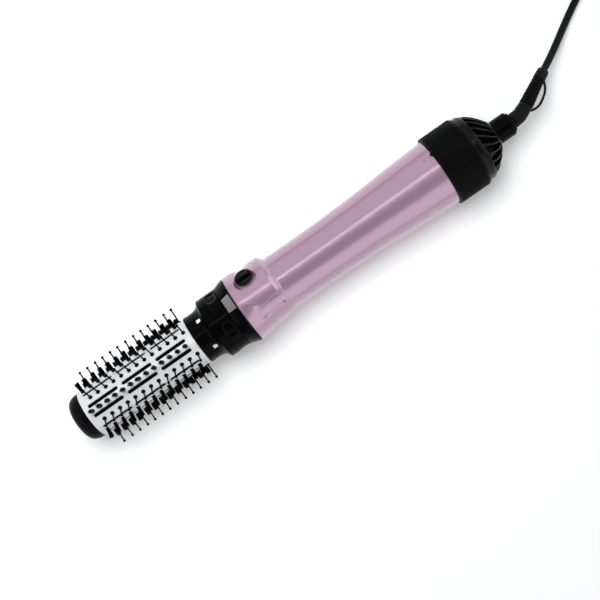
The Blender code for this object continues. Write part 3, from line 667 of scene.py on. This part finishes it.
def add_tuft(shape, place, dice):
    """A ferrule with a sheaf of nylon filaments that fans out."""
    stack(shape, place, ((0.0156, 0.00135), (0.0171, 0.00135), (0.0174, 0.0011)), 14)
    lean = (dice.uniform(-0.035, 0.035), dice.uniform(-0.05, 0.05))
    count = 30
    for k in range(count):
        out = math.sqrt((k + 0.5) / count)
        turn = k * GOLDEN_ANGLE + dice.uniform(-0.2, 0.2)
        foot = Vector((0.0170, 0.00108 * out * math.cos(turn), 0.00108 * out * math.sin(turn)))
        reach = TUFT_TIP_R - dice.uniform(0.0, 0.0007)
        spread = 1.22 + dice.uniform(-0.12, 0.35)
        rise = reach - foot.x
        tip = Vector((reach, foot.y * spread + lean[0] * rise, foot.z * spread * 1.15 + lean[1] * rise))
        points = []
        for t in (0.0, 0.35, 0.7, 1.0):
            point = foot.lerp(tip, t)
            point.y = foot.y + (tip.y - foot.y) * t**1.4
            point.z = foot.z + (tip.z - foot.z) * t**1.4
            points.append(place @ point)
        tube(shape, points, (0.00024, 0.00024, 0.00023, 0.00017), 4)


def add_pin(shape, place, dice):
    """A rubber grommet and a stiff pin with a ball tip."""
    ball_r = 0.00098
    middle = PIN_TIP_R - ball_r
    levels = [(0.0156, 0.00145), (0.0169, 0.00145), (0.0173, 0.0013), (0.0177, 0.0009)]
    levels += [(0.0180, 0.00055), (middle - 0.0008, 0.00048)]
    for k in range(1, 8):
        t = math.pi * (0.18 + 0.80 * k / 7)
        levels.append((middle - ball_r * math.cos(t), ball_r * math.sin(t)))
    lean = (dice.uniform(-0.02, 0.02), dice.uniform(-0.03, 0.03))
    stack(shape, place, levels, 12, lean)


def make_bristles():
    dice = random.Random(11)
    kinds = (("tuft", 0, TUFT_FIRST, add_tuft), ("pin", SECTOR / 2, PIN_FIRST, add_pin))
    for row in range(ROW_COUNT):
        for kind, turn, first, add in kinds:
            shape = Shape()
            angle = HEAD_ROLL + SECTOR * row + turn
            add_rail(shape, angle)
            for i in range(ELEMENTS):
                add(shape, radial_frame(first + PITCH * i, angle), dice)
            node = f"{kind}_strip_{row + 1}"
            piece(f"{kind}_row_{row + 1}", shape, NYLON, "brush_head", [node], 50)


def finger_dents(station, radius, angle):
    """Five shallow thumb holds round the collar's rear ring."""
    if radius < 0.0215:
        return radius
    pitch = 2 * math.pi / 5
    off = (angle - math.radians(33.5) + pitch / 2) % pitch - pitch / 2
    along, across = abs(station - 0.1208) / 0.0039, abs(off) * radius / 0.0056
    away = (along**3 + across**3) ** (1 / 3)
    return radius - 0.0010 * ease((1.1 - away) / 0.4)


WINDOW = ((0.1046, -0.0021), (0.1078, -0.0021), (0.1078, 0.0021), (0.1046, 0.0021))


def make_head_collar():
    """The collar's flare and skirt, two see-through windows, and its rear ring."""
    shape = Shape()
    rear_r = 0.02205
    profile = (
        (0.0973, 0.0173, 0.0003),
        (0.0984, 0.0176, 0.0004),
        (0.0996, 0.01735, 0.0004),
        (0.1040, 0.01735, 0.0008),
        (0.1072, 0.0179, 0.0012),
        (0.1092, 0.0194, 0.0010),
        (0.1108, rear_r, 0.0007),
        (0.1116, rear_r, 0.0001),
        (0.1118, rear_r - 0.0002),
        (0.1120, rear_r, 0.0001),
        (0.1156, rear_r, 0.0003),
        (0.1156, 0.0196),
        (0.1254, 0.0196, 0.0003),
        (0.1254, 0.0182),
        (0.1115, 0.0182),
        (0.1095, 0.0159),
        (0.0973, 0.0159, 0.0002),
    )
    lathe(shape, profile, 144)
    openings = Shape()
    outline = soften([(a, b, 0.0006) for a, b in WINDOW])
    for angle in (53.4, 126.6):
        prism(openings, outline, 0.0145, 0.0200, radial_frame(0, math.radians(angle)))
    piece("collar_body", shape, GLOSS, "brush_head", ["head_collar"], 32, [openings])
    ring = Shape()
    stations = [0.1162 + 0.0004 * i for i in range(23)]
    outer = [(0.1159, rear_r, 0.0002), *((at, rear_r) for at in stations), (0.1254, rear_r, 0.0002)]
    lathe(ring, (*outer, (0.1254, 0.0200), (0.1159, 0.0200)), 240, relief=finger_dents)
    piece("collar_rear_ring", ring, GLOSS, "brush_head", ["collar_ring"], 50)


# --------------------------------------------------------- nose and casing

NOSE_START, NOSE_END = 0.1257, 0.1330
NOSE_FRONT_R, NOSE_REAR_R = 0.02205, 0.0245
LATCH_ANGLES = (math.radians(55.8), math.radians(84.2))
LATCH_START, LATCH_END = 0.1265, 0.1326


def nose_radius(station):
    share = (station - NOSE_START) / (NOSE_END - NOSE_START)
    return NOSE_FRONT_R + (NOSE_REAR_R - NOSE_FRONT_R) * share


def make_nose():
    """The black cone in front of the casing, its spigot and the grey latch in it."""
    shape = Shape()
    profile = (
        (0.0978, 0.0135, 0.0003),
        (0.0984, 0.0139, 0.0003),
        (0.1092, 0.0139),
        (0.1092, 0.0150, 0.0003),
        (NOSE_START, 0.0150),
        (NOSE_START, NOSE_FRONT_R, 0.0003),
        (NOSE_END, NOSE_REAR_R, 0.0003),
        (NOSE_END, 0.0223),
        (0.1266, 0.0200),
        (0.1266, 0.0143),
        (0.1345, 0.0143),
        (0.1345, 0.0127),
        (0.0978, 0.0127, 0.0003),
    )
    lathe(shape, profile, 144)
    window, edge = Shape(), math.radians(1.2)
    rings = []
    for k in range(13):
        a = LATCH_ANGLES[0] - edge + (LATCH_ANGLES[1] - LATCH_ANGLES[0] + 2 * edge) * k / 12
        low, high = LATCH_START - GAP, LATCH_END + GAP
        corners = ((low, 0.0175), (high, 0.0175), (high, 0.0265), (low, 0.0265))
        rings.append([AXIS @ on_axis(at, a, r) for at, r in corners])
    window.loft(rings)
    piece("nose_cone", shape, GLOSS, "handle", ["nose_ring"], 32, [window])
    latch = Shape()
    rings = []
    steps = 160
    for k in range(steps + 1):
        share = k / steps
        a = LATCH_ANGLES[0] + (LATCH_ANGLES[1] - LATCH_ANGLES[0]) * share
        ribbed = ease((share - 0.24) / 0.03) * ease((0.90 - share) / 0.03)
        dip = 0.00022 * ribbed * (0.5 - 0.5 * math.cos(share * 12 * 2 * math.pi))
        dip += 0.0005 * (ease((0.04 - share) / 0.04) + ease((share - 0.96) / 0.04))
        tops = [(at, nose_radius(at) + 0.0002 - dip, 0.0003) for at in (LATCH_START, LATCH_END)]
        outline = soften([(LATCH_START, 0.0192), *tops, (LATCH_END, 0.0192)], 3)
        rings.append([AXIS @ on_axis(at, a, r) for at, r in outline])
    latch.loft(rings)
    piece("latch_button", latch, GREY, "latch", ["release_latch"], 50)


SHELL_START, SHELL_END = 0.1333, 0.2930
NECK_END, NECK_R = 0.3000, 0.0212
CASING = (
    (0.1333, 0.0240),
    (0.1420, 0.0227),
    (0.1520, 0.0214),
    (0.1622, 0.0204),
    (0.1644, 0.0194),
    (0.1960, 0.0194),
    (0.2120, 0.0197),
    (0.2360, 0.0205),
    (0.2520, 0.0215),
    (0.2720, 0.0227),
    (0.2930, 0.0236),
)
PAD = ((0.1333, 0.0245), (0.1397, 0.0245), (0.1557, 0.0235), (0.1660, 0.0234))
BLUR = 0.0012  # how far to each side the two tables are averaged
PAD_REAR = 0.1621  # middle of the pad's rear slope
PAD_EDGES = (math.radians(-13), math.radians(103))
KNOB_AT, KNOB_ANGLE, KNOB_R = 0.1471, math.radians(45), 0.00665
SCREW_STATIONS = (0.1800, 0.2700)


def interpolate(table, at, blur=0.0):
    """A value in a table of (station, value), averaged over a short stretch."""
    total, samples = 0.0, 7 if blur else 1
    for k in range(samples):
        here = at + blur * (k - samples // 2) / max(1, samples // 2)
        here = clamp(here, table[0][0], table[-1][0])
        for (a, low), (b, high) in zip(table, table[1:]):
            if here <= b:
                total += low + (high - low) * (here - a) / (b - a)
                break
    return total / samples


def pad_share(station, angle, plain):
    """1 on the raised switch pad, falling to 0 over its rounded edge."""
    u = PAD_REAR - station
    v = min(angle - PAD_EDGES[0], PAD_EDGES[1] - angle) * plain
    corner = 0.0036
    inside = min(u, v)
    if u < corner and v < corner:
        inside = corner - math.hypot(corner - u, corner - v)
    side_width = 0.0006 + 0.0100 * (1 - ease((station - 0.1345) / 0.0120))
    near_u, near_v = max(u, 1e-4) ** 2, max(v, 1e-4) ** 2
    width = (side_width * near_u + 0.0024 * near_v) / (near_u + near_v)
    return slope((inside + width) / (2 * width))


def recess(station, angle, raised):
    """The flat-floored scoop round the switch knob, which opens to the side."""
    across = (angle - KNOB_ANGLE) * 0.0235
    stretch = 0.62 if across > 0 else 0.33
    away = math.hypot(station - KNOB_AT, across * stretch)
    share = (1 - clamp((away - 0.0069) / 0.0027)) ** 2
    if share == 0:
        return raised
    drop = 0.0017 * ease(-across / 0.0060)
    turn = clamp(angle - KNOB_ANGLE, -1.1, 1.1)
    floor = min(0.0221 / math.cos(turn), raised - drop)
    return raised + (floor - raised) * share


def pill(station, angle, radius):
    """A long shallow groove beside the pad, a little deeper at its two ends."""
    across = (angle - math.radians(127)) * radius
    low, high = 0.1443, 0.1601
    along = station - clamp(station, low, high)
    away = math.hypot(along, across)
    depth = 0.0008 * (1 - ease((away - 0.0008) / 0.0008))
    for end in (low, high):
        depth += 0.0007 * (1 - ease((math.hypot(station - end, across) - 0.0003) / 0.0009))
    return depth


def casing_radius(station, angle):
    """The outer surface; the angle runs from -180 to 180 degrees in radians."""
    radius = interpolate(CASING, station, BLUR)
    if station < 0.1680:
        share = pad_share(station, angle, radius)
        raised = max(radius, interpolate(PAD, station, BLUR))
        radius += (raised - radius) * share
        if abs(station - KNOB_AT) < 0.010 and math.radians(-25) < angle < math.radians(100):
            radius = recess(station, angle, radius)
        if math.radians(115) < angle < math.radians(140):
            radius -= pill(station, angle, radius)
    radius -= 0.0010 * (1 - ease((station - SHELL_START) / 0.0012)) ** 2
    return radius


def spans(*stretches):
    """Numbers along stretches of (start, end, step), without repeats."""
    result = []
    for low, high, step in stretches:
        count = max(1, round((high - low) / step))
        result += [low + (high - low) * k / count for k in range(count)]
    return [*result, stretches[-1][1]]


def make_shell(name, node, degrees, seam_side, cutters=()):
    """One half of the casing, from seam to seam, with its thickness and its rear neck."""
    front = ((SHELL_START, 0.1345, 0.0001), (0.1345, 0.1670, 0.0003))
    stations = spans(*front, (0.1670, SHELL_END, 0.0015))
    inside = (0.1333, 0.1652, 0.1960, 0.2360, 0.2800, SHELL_END)
    rings = []
    for k, angle in enumerate(math.radians(value) for value in degrees):
        wrapped = angle - 2 * math.pi if angle > math.radians(181) else angle
        ring = [(at, casing_radius(at, wrapped)) for at in stations]
        ring += [(SHELL_END + 0.0002, NECK_R), (NECK_END, NECK_R), (NECK_END, 0.0196)]
        for at in inside[::-1]:
            thick = 0.0040 if at > 0.2790 or at < 0.1600 else 0.0020
            ring.append((at, clamp(interpolate(CASING, at) - thick, 0.0174, 0.0196)))
        points = [AXIS @ on_axis(at, angle, r) for at, r in ring]
        if k in (0, len(degrees) - 1):
            for point in points:
                point.z = AXIS_Z + seam_side * GAP / 2
        rings.append(points)
    shape = Shape()
    shape.loft(rings)
    return piece(name, shape, PINK, "handle", [node], 45, cutters)


def make_shells():
    upper = spans((0, 112, 0.8), (112, 119, 1.75), (119, 135, 0.6), (135, 180, 2.5))
    make_shell("casing_top", "upper_shell", upper, 1)
    holes = Shape()
    for station in SCREW_STATIONS:
        outside = interpolate(CASING, station)
        place = radial_frame(station, math.radians(270))
        stack(holes, place, ((outside - 0.0012, 0.0028), (outside + 0.0010, 0.0030)), 32)
    lower = spans((180, 335, 2.5), (335, 354, 0.8), (354, 360, 2.0))
    make_shell("casing_bottom", "lower_shell", lower, -1, [holes])


def make_screws():
    """Sunk cross-head screws in the underside."""
    for number, station in enumerate(SCREW_STATIONS, start=1):
        seat = interpolate(CASING, station) - 0.0012
        place = radial_frame(station, math.radians(270))
        shape = Shape()
        profile = (
            (seat - 0.0024, 0.0000),
            (seat - 0.0024, 0.0012),
            (seat + 0.0001, 0.0012),
            (seat + 0.0001, 0.0024, 0.0002),
            (seat + 0.0007, 0.0024, 0.0004),
            (seat + 0.0010, 0.0014, 0.0006),
            (seat + 0.0010, 0.0000),
        )
        lathe(shape, profile, 40, place)
        along, cross = stadium(0.0030, 0.0006, 3), []
        for outline in (along, [(b, a) for a, b in along]):
            cross.append(Shape())
            prism(cross[-1], outline, seat + 0.0003, seat + 0.0020, place)
        node = f"casing_screw_{number}"
        piece(f"cross_screw_{number}", shape, STEEL, "handle", [node], 35, cross)


def make_knob():
    """The rotary switch: a fluted disc with a finger bar across it."""
    place = radial_frame(KNOB_AT, KNOB_ANGLE)
    shape = Shape()
    profile = (
        (0.0191, 0.0000),
        (0.0191, 0.0024),
        (0.0222, 0.0024),
        (0.0222, 0.0062, 0.0003),
        (0.0226, KNOB_R, 0.0003),
        (0.0238, KNOB_R, 0.0004),
        (0.0243, 0.0060, 0.0006),
        (0.0242, 0.0040, 0.0010),
        (0.0241, 0.0000),
    )

    def flutes(height, radius, angle):
        return radius - 0.00012 * (1 + math.cos(36 * angle)) / 2 if radius > 0.0063 else radius

    lathe(shape, profile, 288, place, flutes)
    rings = []
    for height, size in ((0.0236, 1.0), (0.0258, 0.94), (0.0261, 0.84), (0.0262, 0.66)):
        outline = stadium(0.0116, 0.0026 * size)
        rings.append([place @ Vector((height, b, a * (1 - 0.08 * (1 - size)))) for a, b in outline])
    shape.loft(rings)
    piece("switch_dial", shape, TRIM, "switch", ["switch_knob"], 32)


# ------------------------------------------------------------------ rear end


def make_rear_collar():
    """The ribbed grip ring, its pointer, and the glossy band behind it."""
    shape = Shape()
    top = 0.0255
    profile = (
        (0.2933, 0.0249, 0.0003),
        (0.2937, top, 0.0003),
        (0.2943, top),
        (0.2949, top),
        (0.3153, top),
        (0.3159, top),
        (0.3166, top, 0.0003),
        (0.3170, 0.0250, 0.0002),
        (0.3170, 0.0226),
        (0.3015, 0.0226),
        (0.3015, 0.0217),
        (0.2933, 0.0217, 0.0002),
    )

    def ribs(station, radius, angle):
        if radius < 0.0254 or not 0.2946 < station < 0.3156:
            return radius
        return radius - 0.00060 * ease(0.5 - 0.9 * math.cos(72 * angle))

    lathe(shape, profile, 72 * 10, relief=ribs)
    place = radial_frame(0.2933, math.radians(60.5))
    rear, tip = ((0.0012, -0.0014), (0.0012, 0.0014)), (-0.0016, 0.0000)
    outline = (*rear, (-0.0002, 0.0012), tip, (-0.0002, -0.0012))
    prism(shape, outline, 0.0240, 0.0252, place)
    piece("grip_ring", shape, SATIN, "inlet_cap", ["rear_collar"], 30)
    band = Shape()
    profile = (
        (0.3173, 0.0245, 0.0002),
        (0.3176, 0.0247, 0.0002),
        (0.3182, 0.0246, 0.0002),
        (0.3184, 0.0240, 0.0001),
        (0.3205, 0.0239, 0.0002),
        (0.3213, 0.0240, 0.0003),
        (0.3219, 0.0237, 0.0003),
        (0.3219, 0.0208),
        (0.3173, 0.0208),
    )
    lathe(band, profile, 160)
    piece("gloss_band", band, TRIM, "inlet_cap", ["ring_band"], 30)


def make_grille():
    """A dome of swirling fins between a rim and a hub."""
    shape = Shape()
    rim = ((0.3222, 0.0235, 0.0003), (0.3237, 0.0229, 0.0006), (0.3230, 0.0211, 0.0003))
    lathe(shape, (*rim, (0.3222, 0.0212)), 160)
    hub = ((0.3362, 0.0114, 0.0004), (0.3380, 0.0090, 0.0003), (0.3362, 0.0089))
    lathe(shape, (*hub, (0.3350, 0.0108, 0.0003)), 96)
    dome = ((0.3233, 0.0228, 0), (0.3276, 0.0205, 0), (0.3326, 0.0160, 0), (0.3366, 0.0109, 0))
    path = smooth_route(dome, 0.0009)
    swirl, fins = math.radians(34), 20
    for fin in range(fins):
        rings = []
        for k, point in enumerate(path):
            share = k / (len(path) - 1)
            ahead = path[min(k + 1, len(path) - 1)] - path[max(k - 1, 0)]
            normal = Vector((-ahead.y, ahead.x)).normalized()
            if normal.y < 0:
                normal = -normal
            wide, deep = 0.00072 - 0.00020 * share, 0.0046 - 0.0027 * share
            angle = swirl * 0.75 * share + 2 * math.pi * (fin + 0.25) / fins
            outline = soften([(-wide, -deep), (wide, -deep), (wide, 0, 0.0005), (-wide, 0, 0.0005)], 3)
            ring = []
            for across, up in outline:
                station, radius = point.x + normal.x * up, point.y + normal.y * up
                ring.append(AXIS @ on_axis(station, angle + across / radius, radius))
            rings.append(ring)
        shape.loft(rings)
    piece("inlet_dome", shape, TRIM, "inlet_cap", ["inlet_grille"], 40)


def make_socket():
    """The cord's socket tube, and the bush that turns in it."""
    shape = Shape()
    profile = (
        (0.2960, 0.0085),
        (0.3490, 0.0085, 0.0003),
        (0.3500, 0.0081, 0.0004),
        (0.3500, 0.0063, 0.0002),
        (0.2960, 0.0063),
    )
    lathe(shape, profile, 96)
    for k in range(3):
        place = radial_frame(0.2974, math.radians(90 + 120 * k))
        outline = soften([(a, b, 0.0004) for a, b in stadium(0.0024, 0.0024, 2)])
        prism(shape, outline, 0.0075, 0.0191, place)
    piece("socket_tube", shape, GLOSS, "inlet_cap", ["cord_socket"], 32)
    bush = Shape()
    profile = (
        (0.3400, 0.0000),
        (0.3400, 0.0058),
        (0.3503, 0.0058),
        (0.3503, 0.0070, 0.0002),
        (0.3516, 0.0068, 0.0005),
        (0.3516, 0.0000),
    )
    lathe(bush, profile, 64)
    piece("turning_bush", bush, SATIN, "cord", ["swivel_bush"], 32)


# ------------------------------------------------------------- cord fittings

LOOP_ROUTE = (
    (0.1880, 0.0018, 0.0247),
    (0.1918, -0.0012, 0.0241),
    (0.1975, -0.0016, 0.0229),
    (0.2033, 0.0010, 0.0211),
    (0.2085, 0.0052, 0.0190),
    (0.2120, 0.0120, 0.0176),
)
RELIEF_LENGTH = 0.0425
RIBS = 10
RIB_FIRST, RIB_PITCH = 0.0150, 0.00193  # along the relief from the bush


def relief_radii():
    """(distance along the relief, radius) with a step at each side of every rib."""
    rows = [(0.0, 0.0050), (0.0006, 0.0053), (0.0060, 0.0052), (0.0140, 0.0048)]
    for k in range(RIBS):
        start, radius = RIB_FIRST + RIB_PITCH * k, 0.0050 - 0.0001 * k
        rows += [(start - 0.0001, 0.0030), (start, radius - 0.0002), (start + 0.0002, radius)]
        rows += [(start + 0.0007, radius), (start + 0.0009, radius - 0.0002), (start + 0.0010, 0.0030)]
    rows += [(0.0343, 0.0030), (0.0344, 0.0040), (0.0347, 0.0042)]
    return [*rows, (0.0420, 0.0040), (RELIEF_LENGTH, 0.0037)]


def make_strain_relief():
    """A bent sleeve with ribs, and the thin loop that hangs it up."""
    fine = smooth_route(RELIEF_ROUTE, 0.0002)
    reach = sum((q - p).length for p, q in zip(fine, fine[1:]))
    step = reach / (len(fine) - 1)

    def along(distance):
        t = min(len(fine) - 1.001, max(0.0, distance * reach / RELIEF_LENGTH / step))
        return fine[int(t)].lerp(fine[int(t) + 1], t % 1)

    shape = Shape()
    rows = relief_radii()
    tube(shape, [along(at) for at, _ in rows], [radius for _, radius in rows], 40)
    hoop = smooth_route(LOOP_ROUTE, 0.0007)
    tube(shape, hoop, [0.00085] * len(hoop), 14)
    return piece("relief_sleeve", shape, RUBBER, "cord", ["strain_relief"], 40)


def make_plug():
    """A flat two-pin plug with a finger grip; its pins have insulated feet."""
    rear_x, y, z = 0.3196, -0.0143, 0.0069
    sections = (
        (0.0000, 0.0034, 0.0034),
        (0.0006, 0.0039, 0.0039),
        (0.0094, 0.0043, 0.0043),
        (0.0108, 0.0058, 0.0050),
        (0.0130, 0.0088, 0.0058),
        (0.0180, 0.0106, 0.0062),
        (0.0250, 0.0126, 0.0066),
        (0.0300, 0.0128, 0.0067),
        (0.0352, 0.0128, 0.0067),
        (0.0360, 0.0122, 0.0061),
    )
    path = smooth_route(sections, 0.0005)
    shape = Shape()
    rings = []
    for back, wide, high in path:
        grip = ease((back - 0.0130) / 0.002) * ease((0.0270 - back) / 0.002)
        ring = []
        for k in range(48):
            t = 2 * math.pi * k / 48
            c, s = math.cos(t), math.sin(t)
            power = 2 / (2 + 2.2 * ease((back - 0.0090) / 0.006))
            side = wide * math.copysign(abs(c) ** power, c)
            up = high * math.copysign(abs(s) ** power, s)
            up *= 1 - 0.09 * grip * (0.5 - 0.5 * math.cos(back * 2 * math.pi / 0.0022))
            ring.append(Vector((rear_x - back, y + side, z + up)))
        rings.append(ring)
    shape.loft(rings)
    face = rear_x - sections[-1][0]
    pieces = []
    for number, offset in enumerate((-0.0095, 0.0095), start=1):
        place = Matrix.Translation((face, y + offset, z))
        foot = ((0.0004, 0.0), (0.0004, 0.0020), (-0.0100, 0.0020, 0.0002), (-0.0100, 0.0))
        lathe(shape, foot, 32, place)
        pin = Shape()
        tip = ((-0.0176, 0.00185, 0.0006), (-0.0190, 0.0010, 0.0006), (-0.0190, 0.0))
        lathe(pin, ((0.0, 0.0), (0.0, 0.00185), *tip), 32, place)
        node = f"plug_pin_{number}"
        pieces.append(piece(f"contact_pin_{number}", pin, BRASS, "cord", [node]))
    return [piece("plug_moulding", shape, RUBBER, "cord", ["plug_body"], 45), *pieces]


def make_tie():
    """A ribbed strap round the coil's turns, closed by a small buckle."""
    angle = math.radians(45)
    out = Vector((math.cos(angle), math.sin(angle), 0))
    side = Vector((-out.y, out.x, 0))
    centre = Vector((*COIL_CENTRE, 0))
    low, high, top, thick = 0.0150, 0.0384, 0.0171, 0.0007
    loop = [(low, 0.0002, 0.0024), (high, 0.0002, 0.0024), (high, top, 0.0050), (low, top, 0.0050)]
    loop = soften(loop, 8)
    shape = Shape()
    rings = []
    for k, (r, z) in enumerate(loop):
        before, after = Vector(loop[k - 1]), Vector(loop[(k + 1) % len(loop)])
        along = (after - before).normalized()
        inward = Vector((-along.y, along.x)) * thick
        ring = []
        for across, depth in ((-0.004, 0), (0.004, 0), (0.004, 1), (-0.004, 1)):
            lift = Vector((0, 0, z + inward.y * depth))
            ring.append(centre + out * (r + inward.x * depth) + side * across + lift)
        rings.append(ring)
    shape.loft(rings, cyclic=True)
    rings = []
    corners = ((-0.0050, -0.0055), (0.0050, -0.0055), (0.0050, 0.0055), (-0.0050, 0.0055))
    buckle = soften([(a, b, 0.001) for a, b in corners])
    for rise, size in ((-0.0006, 0.92), (-0.0002, 1.0), (0.0010, 1.0), (0.0015, 0.86)):
        middle = centre + out * 0.0267 + Vector((0, 0, top + rise))
        rings.append([middle + (out * a + side * b) * size for a, b in buckle])
    shape.loft(rings)
    return piece("coil_strap", shape, SATIN, "cord", ["cord_tie"], 40)


def filter_finish():
    """Dark wire cloth: a fine square grid of holes in steel."""
    made = Finish("filter_mesh", (0.02, 0.02, 0.02), 0.75, Metallic=0.5)
    parts = made.node("SeparateXYZ")
    made.link(made.place, parts.inputs[0])
    waves = []
    for axis in ("Y", "Z"):
        wave = made.node("Math", operation="MULTIPLY")
        wave.inputs[1].default_value = 2 * math.pi / 0.0008
        made.link(parts.outputs[axis], wave.inputs[0])
        curve = made.node("Math", operation="SINE")
        made.link(wave.outputs[0], curve.inputs[0])
        waves.append(curve.outputs[0])
    lowest = made.node("Math", operation="MINIMUM")
    made.link(waves[0], lowest.inputs[0])
    made.link(waves[1], lowest.inputs[1])
    made.mix(made.scaled(lowest.outputs[0], 0.0, 1.0, -0.3, 0.1), (0.002, 0.002, 0.002))
    made.bump(lowest.outputs[0], 0.5, 0.0001)
    return made.material


def finish_nodes():
    """Gives every CAD node that is still shown the finish of its slot."""
    finishes = {
        "barrel_white": WHITE,
        "black_gloss": GLOSS,
        "black_satin": SATIN,
        "board": BOARD,
        "brass": BRASS,
        "mica": MICA,
        "steel": STEEL,
    }
    for row in frame["record"]["subparts"]:
        node = NODES[row["node"]]
        if node.hide_render:
            continue
        for slot in node.material_slots:
            slot.material = finishes[row["material_slot"]]
    NODES["inlet_filter"].material_slots[0].material = filter_finish()
    NODES["inner_sleeve"].material_slots[0].material = sleeve_glow_finish()


# ------------------------------------------------------------------- build

make_camera()
make_stage()
cord = make_cord()
make_end_cap()
make_barrel()
make_bristles()
make_head_collar()
make_nose()
make_shells()
make_screws()
make_knob()
make_rear_collar()
make_grille()
make_socket()
relief = make_strain_relief()
plug = make_plug()
tie = make_tie()
finish_nodes()
